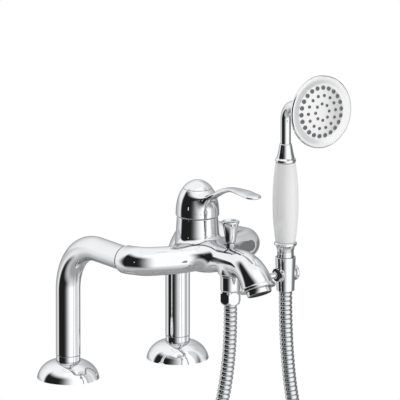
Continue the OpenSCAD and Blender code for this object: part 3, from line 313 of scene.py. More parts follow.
class Bench:
    """The work bench: starts meshes, shapes them with edit tools and finishes them as pieces."""

    @staticmethod
    def clear() -> None:
        """Leaves edit mode and deselects everything."""
        if bpy.context.object and bpy.context.object.mode != "OBJECT":
            bpy.ops.object.mode_set(mode="OBJECT")
        bpy.ops.object.select_all(action="DESELECT")

    @staticmethod
    def take(obj: bpy.types.Object) -> None:
        """Makes one object the only one selected, and the active one.

        Args:
            obj: The object to work on.
        """
        Bench.clear()
        obj.select_set(True)
        bpy.context.view_layer.objects.active = obj

    @staticmethod
    def start(name: str, points: Sequence[Point], edges: Sequence[tuple[int, int]],
              faces: Sequence[Sequence[int]] = ()) -> bpy.types.Object:
        """Starts a mesh from a drawn line or a skin, given in millimetres.

        Args:
            name: The object's name.
            points: Its points in millimetres.
            edges: Pairs of points.
            faces: Rings of points.

        Returns:
            The new object, selected and active.
        """
        mesh = bpy.data.meshes.new(name)
        mesh.from_pydata([tuple(c * MM for c in p) for p in points], edges, faces)
        obj = bpy.data.objects.new(name, mesh)
        bpy.context.scene.collection.objects.link(obj)
        Bench.take(obj)
        return obj

    @staticmethod
    def merge() -> None:
        """Merges the active mesh's doubles and turns its faces outwards."""
        bpy.ops.object.mode_set(mode="EDIT")
        bpy.ops.mesh.select_all(action="SELECT")
        bpy.ops.mesh.remove_doubles(threshold=1e-6)
        bpy.ops.mesh.normals_make_consistent(inside=False)
        bpy.ops.object.mode_set(mode="OBJECT")

    @staticmethod
    def modify(obj: bpy.types.Object, kind: str, **settings) -> None:
        """Gives the active object a modifier and applies it.

        Args:
            obj: The active object.
            kind: The modifier's type.
            settings: Attributes of the modifier.
        """
        bpy.ops.object.modifier_add(type=kind)
        tool = obj.modifiers[-1]
        for name, value in settings.items():
            setattr(tool, name, value)
        bpy.ops.object.modifier_apply(modifier=tool.name)

    @staticmethod
    def tidy(obj: bpy.types.Object, angle: float = SHARP) -> bpy.types.Object:
        """Merges doubles, turns the faces outwards and smooths the shading.

        Args:
            obj: The piece.
            angle: Edges sharper than this many degrees stay sharp.

        Returns:
            The same piece.
        """
        Bench.take(obj)
        Bench.merge()
        bpy.ops.object.shade_smooth_by_angle(angle=math.radians(angle))
        Bench.modify(obj, "WEIGHTED_NORMAL", keep_sharp=True)
        return obj

    @staticmethod
    def lathe(name: str, profile: Profile, place: Matrix, steps: int = TURN_STEPS, closed: bool = False,
              angle: float = SHARP) -> bpy.types.Object:
        """Spins an outline round the upright axis.

        Args:
            name: The piece's name.
            profile: The outline as radius and height in millimetres.
            place: Moves the turned piece from the axis to its seat, in millimetres.
            steps: Parts of the full turn.
            closed: Whether the outline's end meets its start.
            angle: Edges sharper than this many degrees stay sharp.

        Returns:
            The turned piece.
        """
        edges = [(i, i + 1) for i in range(len(profile) - 1)]
        if closed:
            edges.append((len(profile) - 1, 0))
        obj = Bench.start(name, [(r, 0.0, z) for r, z in profile], edges)
        bpy.ops.object.mode_set(mode="EDIT")
        bpy.ops.mesh.select_all(action="SELECT")
        bpy.ops.mesh.spin(steps=steps, angle=2 * math.pi, center=(0, 0, 0), axis=(0, 0, 1))
        bpy.ops.object.mode_set(mode="OBJECT")
        Bench.tidy(obj, angle)
        seat = place.copy()
        seat.translation = seat.translation * MM
        obj.data.transform(seat)
        return obj

    @staticmethod
    def tube(name: str, rings: Sequence[tuple[Vector, Vector, float]], sides: int,
             across: Point) -> bpy.types.Object:
        """Skins a tube over rings that stand square to a line.

        Args:
            name: The piece's name.
            rings: Centre, heading and radius of each ring, in millimetres.
            sides: Points of each ring.
            across: A direction that no heading runs along.

        Returns:
            The closed tube.
        """
        points: list[Point] = []
        for centre, heading, radius in rings:
            a = Vector(across).cross(heading).normalized()
            b = heading.cross(a).normalized()
            for k in range(sides):
                turn = 2 * math.pi * k / sides
                points.append(tuple(centre + a * (radius * math.cos(turn)) + b * (radius * math.sin(turn))))
        faces = [(i * sides + k, i * sides + (k + 1) % sides, (i + 1) * sides + (k + 1) % sides,
                  (i + 1) * sides + k) for i in range(len(rings) - 1) for k in range(sides)]
        faces.append(tuple(range(sides)))
        faces.append(tuple((len(rings) - 1) * sides + k for k in range(sides)))
        return Bench.tidy(Bench.start(name, points, (), faces), TUBE_SHARP)

    @staticmethod
    def finish(obj: bpy.types.Object, finish: Finish, body: Body, *nodes: str) -> bpy.types.Object:
        """Dresses a piece and puts it on its body.

        Args:
            obj: The piece.
            finish: What it is made of.
            body: The body that it rides on.
            nodes: The CAD nodes that it stands for.

        Returns:
            The same piece.
        """
        obj.data.materials.clear()
        obj.data.materials.append(finish.material())
        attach(obj, body.value)
        if nodes:
            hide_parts(*nodes)
        LOG.info("made %s with %d faces", obj.name, len(obj.data.polygons))
        return obj

    @staticmethod
    def turned(name: str, profile: Profile, place: Matrix, body: Body, *nodes: str, finish: Finish = CHROME,
               steps: int = TURN_STEPS, closed: bool = True, angle: float = SHARP) -> bpy.types.Object:
        """Turns a piece on the lathe, dresses it and puts it on its body.

        Args:
            name: The piece's name.
            profile: The outline as radius and height in millimetres.
            place: Moves the turned piece from the axis to its seat, in millimetres.
            body: The body that it rides on.
            nodes: The CAD nodes that it stands for.
            finish: What it is made of.
            steps: Parts of the full turn.
            closed: Whether the outline's end meets its start.
            angle: Edges sharper than this many degrees stay sharp.

        Returns:
            The finished piece.
        """
        return Bench.finish(Bench.lathe(name, profile, place, steps, closed, angle), finish, body, *nodes)


@dataclass
class Casting:
    """A cast piece whose fillets run into each other, meshed from one smooth distance field.

    Attributes:
        name: The piece's name.
        distance: The field: negative inside, in millimetres.
        low: Lowest corner of the space that holds it.
        high: Highest corner.
        cell: The mesh's cell in millimetres.
        probe: How far the slope is measured to each side.
        rounds: How often the points are settled on the surface.
    """

    name: str
    distance: Field
    low: Point
    high: Point
    cell: float = 1.1
    probe: float = 0.02
    rounds: int = 6

    def slope(self, points: np.ndarray) -> np.ndarray:
        """The field's gradient at some points."""
        rises = [self.distance(points + self.probe * axis) - self.distance(points - self.probe * axis)
                 for axis in np.eye(3)]
        return np.stack(rises, axis=-1) / (2 * self.probe)

    def sample(self) -> np.ndarray:
        """Takes the field's values on a grid over the whole space.

        Returns:
            The values by their place on the grid.
        """
        axes = [low + self.cell * np.arange(math.ceil((high - low) / self.cell) + 1)
                for low, high in zip(self.low, self.high)]
        grid = np.stack(np.meshgrid(*axes, indexing="ij"), axis=-1)
        return self.distance(grid.reshape(-1, 3)).reshape(grid.shape[:3])

    @staticmethod
    def ends(axis: int, rest: slice) -> list[tuple[slice, ...]]:
        """Picks both ends of the grid's edges along an axis.

        Args:
            axis: The axis.
            rest: What is picked along the other two axes.

        Returns:
            The picks of the lower and the upper ends.
        """
        picks = []
        for along in (slice(0, -1), slice(1, None)):
            pick = [rest] * 3
            pick[axis] = along
            picks.append(tuple(pick))
        return picks

    def set_points(self, value: np.ndarray) -> tuple[np.ndarray, np.ndarray]:
        """Sets one point in each cell that the surface passes through.

        Args:
            value: The field on the grid.

        Returns:
            The points in millimetres, and the number of each cell's point.
        """
        cells = [n - 1 for n in value.shape]
        total, hits = np.zeros((*cells, 3)), np.zeros(cells)
        for axis in range(3):
            b, c = (axis + 1) % 3, (axis + 2) % 3
            f0, f1 = (value[pick] for pick in self.ends(axis, slice(None)))
            cross = (f0 < 0) != (f1 < 0)
            share = np.where(cross, f0 / np.where(cross, f0 - f1, 1.0), 0.0)
            for db, dc in ((0, 0), (0, 1), (1, 0), (1, 1)):
                pick = [slice(None)] * 3
                pick[b], pick[c] = slice(db, db + cells[b]), slice(dc, dc + cells[c])
                on = cross[tuple(pick)]
                hits += on
                total[..., axis] += np.where(on, share[tuple(pick)], 0)
                total[..., b] += on * db
                total[..., c] += on * dc
        used = hits > 0
        numbers = np.full(cells, -1)
        numbers[used] = np.arange(used.sum())
        spots = np.argwhere(used) + total[used] / hits[used][:, None]
        return np.array(self.low) + spots * self.cell, numbers

    def join(self, inside: np.ndarray, numbers: np.ndarray) -> np.ndarray:
        """Joins the points of the four cells round each grid edge that the surface crosses.

        Args:
            inside: Where the grid lies inside the piece.
            numbers: The number of each cell's point.

        Returns:
            The faces as four numbers each, turned outwards.
        """
        faces = []
        ring = ((1, 1), (0, 1), (0, 0), (1, 0))
        for axis in range(3):
            b, c = (axis + 1) % 3, (axis + 2) % 3
            first, second = (inside[pick] for pick in self.ends(axis, slice(1, -1)))
            for crossed, order in ((first & ~second, ring), (second & ~first, ring[::-1])):
                spot = np.argwhere(crossed)
                corners = []
                for db, dc in order:
                    cell = spot.copy()
                    cell[:, b] += 1 - db
                    cell[:, c] += 1 - dc
                    corners.append(numbers[tuple(cell.T)])
                faces.append(np.stack(corners, axis=-1))
        return np.concatenate(faces)

    def build(self) -> bpy.types.Object:
        """Meshes the field's surface and settles each point on it.

        Returns:
            The piece, smooth, with the field's own normals.
        """
        value = self.sample()
        points, numbers = self.set_points(value)
        quads = self.join(value < 0, numbers)
        for _ in range(self.rounds):
            slope = self.slope(points)
            step = self.distance(points) / np.maximum((slope ** 2).sum(-1), 0.05)
            points = points - np.clip(step, -self.cell / 2, self.cell / 2)[:, None] * slope
        slope = self.slope(points)
        normals = slope / np.maximum(np.linalg.norm(slope, axis=-1), 1e-9)[:, None]
        obj = Bench.start(self.name, points.tolist(), (), quads.tolist())
        for face in obj.data.polygons:
            face.use_smooth = True
        obj.data.normals_split_custom_set_from_vertices(normals.tolist())
        return obj


@dataclass
class Leg:
    """One inlet leg: domed foot, collar, bent tube and a dark seal ring that paints shade in the union's
    seam.

    Attributes:
        side: -1 for the left leg and 1 for the right one.
        name: Which leg it is.
    """

    side: int
    name: str
    tube_r: float = 13.8
    tube_wall: float = 2.0
    bend_r: float = 58.0
    bend_steps: int = 48
    into_arm: float = 4.0
    sides: int = 96
    foot_r: float = 35.0
    foot_wall: float = 2.2
    dome_r: float = 24.0
    dome_drop: float = 4.0
    foot_fit: float = 0.05
    foot_steps: tuple[int, int] = (40, 30)
    collar_r: float = 13.6
    collar_z: float = 26.6
    seam: float = 0.45
    inlet_r: float = 9.3
    inlet_depth: float = 22.0
    bore_r: float = 7.5
    spigot_len: float = 14.0
    # The dark seam ring: a seal's edge that also paints the shade in the union's seam.
    seam_ring_r: float = 15.4
    seam_ring_w: float = 0.9
    seam_ring_lap: float = 0.4

    @property
    def x(self) -> float:
        """Where the leg's axis stands."""
        return self.side * INLET_SPACING / 2

    def foot(self) -> None:
        """Turns the domed foot cover."""
        centre = (self.foot_r - math.sqrt(self.dome_r ** 2 - self.dome_drop ** 2), -self.dome_drop)
        inner = self.dome_r - self.foot_wall
        hole = self.collar_r + self.foot_fit - centre[0]
        low, inner_low = (math.degrees(math.asin(self.dome_drop / r)) for r in (self.dome_r, inner))
        top, inner_top = (math.degrees(math.acos(hole / r)) for r in (self.dome_r, inner))
        outline = arc(centre, self.dome_r, low, top, self.foot_steps[0])
        outline += arc(centre, inner, inner_top, inner_low, self.foot_steps[1])
        Bench.turned(f"foot_dome_{self.name}", outline, at(self.x, 0, 0), Body.BASE,
                     f"foot_cover_{self.name}")

    def collar(self) -> None:
        """Turns the collar that shows between the foot and the tube."""
        top, end = self.collar_z - self.seam, self.collar_z + self.spigot_len
        spigot_r = self.tube_r - self.tube_wall
        outline = rounded([(self.inlet_r, 0), (self.collar_r, 0, 0.4), (self.collar_r, top, 0.3),
                           (spigot_r, top), (spigot_r, end), (self.bore_r, end),
                           (self.bore_r, self.inlet_depth), (self.inlet_r, self.inlet_depth)])
        Bench.turned(f"inlet_collar_{self.name}", outline, at(self.x, 0, 0), Body.BASE,
                     f"inlet_bush_{self.name}")

    def tube(self) -> None:
        """Draws the tube's ring up, round the elbow and out to the union."""
        low, turn_z = self.collar_z + self.seam, ARM_Z - self.bend_r
        Bench.clear()
        bpy.ops.mesh.primitive_circle_add(vertices=self.sides, radius=self.tube_r * MM, fill_type="NOTHING",
                                          location=(self.x * MM, 0, low * MM))
        obj = bpy.context.object
        obj.name = f"leg_bend_{self.name}"
        bpy.ops.object.transform_apply(location=True)
        bpy.ops.object.mode_set(mode="EDIT")
        bpy.ops.mesh.select_all(action="SELECT")
        bpy.ops.mesh.extrude_region_move(TRANSFORM_OT_translate={"value": (0, 0, (turn_z - low) * MM)})
        bpy.ops.mesh.spin(steps=self.bend_steps, angle=-math.pi / 2, axis=(1, 0, 0),
                          center=(self.x * MM, -self.bend_r * MM, turn_z * MM))
        out = UNION_Y + self.into_arm - self.bend_r
        bpy.ops.mesh.extrude_region_move(TRANSFORM_OT_translate={"value": (0, -out * MM, 0)})
        Bench.merge()
        Bench.modify(obj, "SOLIDIFY", thickness=self.tube_wall * MM, offset=-1)
        Bench.finish(Bench.tidy(obj), CHROME, Body.BASE, f"leg_tube_{self.name}")

    def seam_shade_ring(self) -> None:
        """Turns the thin dark ring at the union: a seal's edge and painted shade in the seam."""
        inner = self.tube_r - self.seam_ring_lap
        outline = rounded([(inner, 0), (self.seam_ring_r, 0, 0.2), (self.seam_ring_r, self.seam_ring_w, 0.2),
                           (inner, self.seam_ring_w)])
        place = at(self.x, -UNION_Y, ARM_Z) @ Matrix.Rotation(-math.pi / 2, 4, "X")
        # Black rubber ring: the seal's edge, and painted shade in the seam between tube and arm.
        Bench.turned(f"union_seal_and_seam_shade_{self.name}", outline, place, Body.BASE, finish=NITRILE)

    def build(self) -> None:
        """Builds the leg."""
        self.foot()
        self.collar()
        self.tube()
        self.seam_shade_ring()


@dataclass
class MixerBody:
    """The cast body: two arms, the cross run, the cartridge housing, the spout and its diverter boss.

    Keys of curves are given as distances to the front or side, heights and radii in millimetres. A root or a
    fillet says how wide the blend between two forms is, and an edge how wide a rounding is.
    """

    arm_r: float = 16.2
    mid_r: float = 15.4
    arm_lift: float = 2.0
    lift_len: float = 24.0
    union_gap: float = 0.4
    union_edge: float = 1.8
    sweep_keys: Outline = ((75, 96), (75, 112), (74.7, 122), (73.4, 130), (70.4, 136.6), (64.4, 142.0),
                           (56.5, 145.8), (40.6, 151.6), (20, 155.2), (0, 156))
    housing_keys: Outline = ((150, 25.4), (170, 25.2), (177, 24.9), (184, 24.3), (194, 23.6), (206, 22.9))
    housing_low: float = 164.0
    housing_top: float = 205.4
    housing_edge: float = 0.9
    housing_root: float = 8.0
    neck_keys: Outline = ((134, 157.8, 17.8), (150, 159.0, 17.6), (165, 161.0, 16.8), (180, 163.8, 15.6),
                          (194, 165.6, 14.8), (208, 166.5, 14.9), (225.6, 167.2, 15.4))
    neck_lean: float = 0.1
    spout_y: float = 140.0
    spout_z: float = 158.0
    spout_rise: float = 6.2
    spout_fall: float = 62.0
    spout_r: float = 15.4
    turn_y: float = 223.4
    turn_r: float = 34.0
    flare_power: float = 1.5
    mouth_r: float = 18.0
    mouth_len: float = 3.6
    mouth_edge: float = 0.6
    lip: Pair = (-2.0, 5.0)
    lip_flare: float = 0.1
    boss_r: float = 13.6
    boss_low: float = 151.4
    boss_top: float = 161.0
    boss_edge: float = 1.4
    boss_root: float = 6.0
    belly_z: float = 139.0
    belly_edge: float = 8.0
    run_fillet_z: Pair = (151.0, 170.0)
    run_fillet: Pair = (3.0, 27.0)
    fillet: float = 5.0
    space: tuple[Point, Point] = ((-95, -280, 125), (95, -108, 210))
    # Outlines as radius, distance past the mouth and, where a corner is rounded, its radius.
    bead: Outline = ((12.9, -3), (17.0, -3, 0.4), (18.2, 1.3, 0.1), (20.1, 1.6, 1.6), (20.3, 5.2, 1.4),
                     (18.4, 5.6, 0.3), (16.6, 5.8, 0.4), (13.3, 5.8))
    aerator: Outline = ((12.9, -3), (13.2, -3), (13.2, 4.4, 0.6), (14.2, 4.8, 0.5), (14.2, 8.6, 0.8),
                        (13.6, 11, 0.4), (12.9, 11, 0.2))
    sieve_r: float = 12.8
    sieve_back: float = -6.0
    sieve_out: float = 9.6
    sieve_ridge: float = 0.5
    sieve_ridges: int = 24
    sweep: list[tuple[float, ...]] = field(init=False)
    neck: np.ndarray = field(init=False)
    turn_z: float = field(init=False)
    centre: Pair = field(init=False)
    mouth: Pair = field(init=False)
    mouth_dir: Pair = field(init=False)

    def __post_init__(self) -> None:
        """Works out the run's line, the spout's turn and its mouth."""
        self.sweep = flowing(self.sweep_keys, 7)
        self.neck = np.array(flowing(self.neck_keys))
        rise, fall = math.radians(self.spout_rise), math.radians(self.spout_fall)
        self.turn_z = self.spout_z + (self.turn_y - self.spout_y) * math.tan(rise)
        self.centre = (self.turn_y + self.turn_r * math.sin(rise), self.turn_z - self.turn_r * math.cos(rise))
        self.mouth = (self.centre[0] + self.turn_r * math.sin(fall),
                      self.centre[1] + self.turn_r * math.cos(fall))
        self.mouth_dir = (math.cos(fall), -math.sin(fall))

    def cross_run(self, p: np.ndarray) -> np.ndarray:
        """Distance to the arms and the run between them.

        Args:
            p: Places in millimetres.

        Returns:
            The distance of each place.
        """
        x, y = np.abs(p[:, 0]), -p[:, 1]
        near = np.full(len(p), np.inf)
        for (ax, ay), (bx, by) in zip(self.sweep, self.sweep[1:]):
            dx, dy = bx - ax, by - ay
            t = np.clip(((x - ax) * dx + (y - ay) * dy) / (dx ** 2 + dy ** 2), 0, 1)
            near = np.minimum(near, (x - ax - t * dx) ** 2 + (y - ay - t * dy) ** 2)
        radius = self.mid_r + (self.arm_r - self.mid_r) * np.clip(x / (INLET_SPACING / 2), 0, 1)
        height = p[:, 2] - ARM_Z - self.arm_lift * ease(y, UNION_Y, UNION_Y + self.lift_len)
        tube = np.hypot(np.sqrt(near), height) - radius
        return smooth_max(tube, p[:, 1] + UNION_Y + self.union_gap, self.union_edge)

    def housing(self, p: np.ndarray) -> np.ndarray:
        """Distance to the cartridge housing.

        Args:
            p: Places in millimetres.

        Returns:
            The distance of each place.
        """
        heights, radii = np.array(self.housing_keys).T
        wall = np.hypot(p[:, 0], p[:, 1] + CARTRIDGE_Y) - np.interp(p[:, 2], heights, radii)
        wall = smooth_max(wall, p[:, 2] - self.housing_top, self.housing_edge)
        return smooth_max(wall, self.housing_low - p[:, 2], self.housing_root)

    def spout(self, p: np.ndarray) -> np.ndarray:
        """Distance to the spout, from the body over its neck to its mouth.

        Args:
            p: Places in millimetres.

        Returns:
            The distance of each place.
        """
        y, z, x2 = -p[:, 1], p[:, 2], p[:, 0] ** 2
        ys, zs, radii = self.neck.T
        near = np.clip(y + self.neck_lean * (z - self.turn_z), ys[0], ys[-1])
        dy, dz = y - near, z - np.interp(near, ys, zs)
        straight = np.sqrt(dy * dy + dz * dz + x2) - np.interp(near, ys, radii)
        rise, fall = math.radians(self.spout_rise), math.radians(self.spout_fall)
        turn = np.clip(np.arctan2(y - self.centre[0], z - self.centre[1]), -rise, fall)
        dy = y - self.centre[0] - self.turn_r * np.sin(turn)
        dz = z - self.centre[1] - self.turn_r * np.cos(turn)
        along = np.clip((turn + rise) / (fall + rise), 0, 1)
        flare = (self.mouth_r - self.spout_r) * along ** self.flare_power
        bend = np.sqrt(dy * dy + dz * dz + x2) - self.spout_r - flare
        ay, az = y - self.mouth[0], z - self.mouth[1]
        out = ay * self.mouth_dir[0] + az * self.mouth_dir[1]
        side = ay * self.mouth_dir[1] - az * self.mouth_dir[0]
        lip_r = self.mouth_r + self.lip_flare * np.clip(out, *self.lip)
        lip = np.maximum(np.hypot(side, p[:, 0]) - lip_r, self.lip[0] - out)
        shape = np.minimum(np.minimum(straight, bend), lip)
        return smooth_max(shape, out - self.mouth_len, self.mouth_edge)

    def boss(self, p: np.ndarray) -> np.ndarray:
        """Distance to the diverter's boss under the spout.

        Args:
            p: Places in millimetres.

        Returns:
            The distance of each place.
        """
        wall = np.hypot(p[:, 0], p[:, 1] + OUTLET_Y) - self.boss_r
        wall = smooth_max(wall, self.boss_low - p[:, 2], self.boss_edge)
        return smooth_max(wall, p[:, 2] - self.boss_top, self.boss_root)

    def distance(self, p: np.ndarray) -> np.ndarray:
        """Distance to the whole casting. The run's fillet to the spout widens upwards.

        Args:
            p: Places in millimetres.

        Returns:
            The distance of each place.
        """
        run_fillet = np.interp(p[:, 2], self.run_fillet_z, self.run_fillet)
        body = smooth_min(self.cross_run(p), self.spout(p), run_fillet)
        body = smooth_max(body, self.belly_z - p[:, 2], self.belly_edge)
        body = smooth_min(body, self.boss(p), self.fillet)
        return smooth_min(body, self.housing(p), self.fillet)

    def mouth_seat(self) -> Matrix:
        """The mouth's frame in millimetres, with its Z along the water's way out."""
        axis = Vector((0, -self.mouth_dir[0], self.mouth_dir[1]))
        return at(0, -self.mouth[0], self.mouth[1]) @ axis.to_track_quat("Z", "X").to_matrix().to_4x4()

    def build(self) -> None:
        """Casts the body, then turns the mouth's bead and the aerator."""
        casting = Casting("cast_body", self.distance, *self.space)
        Bench.finish(casting.build(), CHROME, Body.BASE, "mixer_body")
        seat = self.mouth_seat()
        Bench.turned("mouth_bead", rounded(self.bead), seat, Body.BASE)
        Bench.turned("aerator_ring", rounded(self.aerator), seat, Body.BASE, "aerator_shell")
        waves = [(self.sieve_r * i / self.sieve_ridges, self.sieve_out + self.sieve_ridge * (i % 2))
                 for i in range(self.sieve_ridges, -1, -1)]
        insert = [(0.0, self.sieve_back), (self.sieve_r, self.sieve_back)] + waves
        Bench.turned("aerator_sieve", insert, seat, Body.BASE, "aerator_insert", finish=ACETAL, steps=72,
                     closed=False)


@dataclass
class LeverHandle:
    """The lever handle: skirt, dome, blade and top cap.

    The blade's line and the spans along it are measured from the dome's axis.
    """

    skirt_z: float = 206.0
    skirt_r: float = 24.3
    skirt_h: float = 1.0
    skirt_edge: float = 1.0
    skirt_wall: float = 1.1
    hollow_h: float = 7.0
    hollow_edge: float = 0.6
    dome_h: float = 39.2
    dome_power: float = 2.25
    cap_z: float = 237.0
    cap_gap: float = 0.15
    cap_cut_r: float = 17.5
    cap_edge: float = 0.5
    cap_lift: float = 0.3
    cap_steps: int = 27
    length: float = 114.5
    blade_z: float = 249.0
    blade_line: Outline = ((-10, -25), (0, -24), (20, -21), (30, -16), (38, -11.6), (46, -7.4), (54, -4),
                           (64, -1.2), (74, 0), (90, 0.2), (104, -0.7), (125, -0.9))
    blade_from: float = 4.0
    blade_fillet: float = 7.0
    blade_w: float = 9.4
    waist_w: float = 5.4
    widens: Pair = (58.0, 94.0)
    root_w: float = 2.6
    root_narrows: Pair = (20.0, 40.0)
    blade_half: float = 2.3
    swell: float = 1.1
    swell_ends: Pair = (40.0, 80.0)
    keel: float = 9.0
    keel_ends: Pair = (14.0, 38.0)
    keel_power: float = 1.6
    tip_half: float = 0.35
    section_power: float = 2.6
    space: tuple[Point, Point] = ((-30, -262, 202), (30, -115, 262))
    cell: float = 0.8

    def dome_radius(self, z: float) -> float:
        """The dome's radius at a height."""
        up = max(z - self.skirt_z - self.skirt_h, 0) / self.dome_h
        return self.skirt_r * math.sqrt(max(1 - up ** self.dome_power, 0))

    def dome(self, p: np.ndarray) -> np.ndarray:
        """Distance to the skirt and dome, with the cap's part.

        Args:
            p: Places in millimetres.

        Returns:
            The distance of each place.
        """
        rho = np.hypot(p[:, 0], p[:, 1] + CARTRIDGE_Y) / self.skirt_r
        up = np.maximum(p[:, 2] - self.skirt_z - self.skirt_h, 0) / self.dome_h
        shape = (np.sqrt(rho ** 2 + up ** self.dome_power) - 1) * self.skirt_r
        return smooth_max(shape, self.skirt_z - p[:, 2], self.skirt_edge)

    def blade(self, p: np.ndarray) -> np.ndarray:
        """Distance to the lever's blade: a keeled root, a narrow waist and a broad round tip.

        Args:
            p: Places in millimetres.

        Returns:
            The distance of each place.
        """
        u = -p[:, 1] - CARTRIDGE_Y
        us, heights = np.array(flowing(self.blade_line, 4)).T
        half = self.blade_half + self.swell * (1 - ease(u, *self.swell_ends))
        keel = self.keel * (1 - ease(u, *self.keel_ends)) ** self.keel_power
        width = (self.waist_w + (self.blade_w - self.waist_w) * ease(u, *self.widens)
                 + self.root_w * (1 - ease(u, *self.root_narrows)))
        past = np.clip((u - (self.length - self.blade_w)) / self.blade_w, 0, 1)
        tip = np.sqrt(np.maximum(1 - past ** 2, 1e-4))
        width = width * tip
        dz = p[:, 2] - self.blade_z - np.interp(u, us, heights)
        half_z = np.where(dz < 0, half + keel, half) * (self.tip_half + (1 - self.tip_half) * tip)
        power = self.section_power
        ring = (np.abs(p[:, 0] / width) ** power + np.abs(dz / half_z) ** power) ** (1 / power)
        shape = (ring - 1) * np.minimum(width, half_z)
        return np.maximum(np.maximum(shape, u - self.length), self.blade_from - u)

    def distance(self, p: np.ndarray) -> np.ndarray:
        """Distance to the handle below the cap's seam.

        Args:
            p: Places in millimetres.

        Returns:
            The distance of each place.
        """
        whole = smooth_min(self.dome(p), self.blade(p), self.blade_fillet)
        rho = np.hypot(p[:, 0], p[:, 1] + CARTRIDGE_Y)
        cap = np.maximum(self.cap_z - self.cap_gap - p[:, 2], rho - self.cap_cut_r)
        whole = smooth_max(whole, -cap, self.cap_edge)
        hollow = np.maximum(rho - self.skirt_r + self.skirt_wall, p[:, 2] - self.skirt_z - self.hollow_h)
        return smooth_max(whole, -hollow, self.hollow_edge)

    def build(self) -> None:
        """Casts the handle and turns its cap."""
        casting = Casting("lever_casting", self.distance, *self.space, self.cell)
        Bench.finish(casting.build(), CHROME, Body.HANDLE, "lever_handle")
        low, top = self.cap_z + self.cap_lift, self.skirt_z + self.skirt_h + self.dome_h
        rim = self.dome_radius(self.cap_z)
        turns = [math.pi / 2 * i / self.cap_steps for i in range(self.cap_steps)]
        heights = [low + (top - low) * math.sin(a) for a in turns]
        outline = [(0, self.cap_z), (rim - 1.0, self.cap_z), (rim - 0.35, self.cap_z + 0.12)]
        outline += [(self.dome_radius(z), z) for z in heights] + [(0, top)]
        Bench.turned("handle_cap", outline, at(0, -CARTRIDGE_Y, 0), Body.HANDLE, "handle_top_cap",
                     closed=False)


@dataclass
class Diverter:
    """The pull-up diverter: its gland on the spout and its flared knob."""

    rod_r: float = 2.6
    rod_gap: float = 0.06
    gland_r: float = 6.2
    gland_z: float = 164.4
    gland_shoulder: float = 178.0
    gland_top: float = 187.0
    neck_r: float = 5.0
    neck_z: float = 181.4
    knob_z: float = 187.6
    waist_r: float = 5.7
    flare: Outline = ((6.1, 190.2), (6.6, 194.2), (7.2, 199.0), (8.0, 203.8), (8.8, 207.4), (9.6, 209.2))
    rim_r: float = 10.1
    rim_z: float = 211.0
    hollow_r: float = 6.0

    def build(self) -> None:
        """Turns the gland and the knob."""
        seat = at(0, -OUTLET_Y, 0)
        bore = self.rod_r + self.rod_gap
        gland = rounded([(bore, self.gland_z), (self.gland_r, self.gland_z),
                         (self.gland_r, self.gland_shoulder, 2.0), (self.neck_r, self.neck_z, 2.0),
                         (self.neck_r, self.gland_top, 0.4), (bore, self.gland_top)])
        Bench.turned("diverter_collar", gland, seat, Body.BASE, "diverter_gland", steps=72)
        r, z = self.rim_r, self.rim_z
        outline = [(self.rod_r, self.knob_z), (self.waist_r - 0.5, self.knob_z)]
        outline += flowing([(self.waist_r, self.knob_z + 0.4), *self.flare, (r, z - 0.6)], 4)
        outline += rounded([(r + 0.05, z - 0.3), (r - 0.1, z + 0.9, 0.6), (r - 1.3, z + 0.8, 0.6),
                            (self.hollow_r, z - 1.2, 3.0), (0, z - 1.5)])
        Bench.turned("diverter_pull_knob", outline, seat, Body.DIVERTER, "diverter_knob", closed=False)


@dataclass
class Outlet:
    """The hose outlet under the diverter: stub and hexagon nut."""

    top: float = 151.4
    top_gap: float = 0.05
    shoulder: float = 132.6
    stub_r: float = 11.2
    ledge: float = 0.9
    thread_r: float = 8.9
    thread_z: float = 122.6
    bore_r: float = 5.5
    valve_r: float = 7.6
    valve_z: float = 135.6
    nut_low: float = 117.4
    nut_flats: float = 21.0
    nut_turn: float = 15.0
    nut_edge: float = 0.7
    nut_end_r: float = 9.9
    nut_cone: Pair = (13.0, 5.6)
    nut_sharp: float = 25.0

    def stub(self) -> None:
        """Turns the stub."""
        r, low, top = self.stub_r, self.shoulder, self.top
        outline = rounded([(self.bore_r, self.thread_z), (self.thread_r, self.thread_z), (self.thread_r, low),
                           (r - 0.6, low, 0.3), (r, low + 1.2, 0.5), (r, top - 2.4, 0.5),
                           (r + self.ledge, top - 1.6, 0.4), (r + self.ledge, top - self.top_gap),
                           (self.valve_r, top - self.top_gap), (self.valve_r, self.valve_z),
                           (self.bore_r, self.valve_z)])
        Bench.turned("outlet_collar", outline, at(0, -OUTLET_Y, 0), Body.BASE, "outlet_stub")

    def nut(self) -> None:
        """Cuts the nut's six faces and turns off its corners at both ends."""
        low, high = self.nut_low, self.shoulder
        Bench.clear()
        bpy.ops.mesh.primitive_cylinder_add(
            vertices=6, radius=self.nut_flats / math.sqrt(3) * MM, depth=(high - low) * MM,
            location=(0, 0, (low + high) / 2 * MM), rotation=(0, 0, math.radians(self.nut_turn)))
        nut = bpy.context.object
        nut.name = "hose_hexagon_nut"
        bpy.ops.object.transform_apply(location=True, rotation=True)
        Bench.modify(nut, "BEVEL", width=self.nut_edge * MM, segments=3, limit_method="ANGLE")
        Bench.tidy(nut, self.nut_sharp)
        (cone_r, cone_h), over = self.nut_cone, 0.02
        cone = rounded([(0, low - over), (self.nut_end_r, low - over, 0.3), (cone_r, low + cone_h),
                        (cone_r, high - cone_h), (self.nut_end_r, high + over, 0.3), (0, high + over)])
        turning = Bench.lathe("nut_turning", cone, Matrix())
        Bench.take(nut)
        Bench.modify(nut, "BOOLEAN", operation="INTERSECT", object=turning, solver="EXACT")
        bpy.data.objects.remove(turning)
        nut.data.transform(Matrix.Translation((0, -OUTLET_Y * MM, 0)))
        Bench.finish(Bench.tidy(nut, self.nut_sharp), CHROME, Body.BASE, "hose_nut")

    def build(self) -> None:
        """Builds the stub and the nut."""
        self.stub()
        self.nut()


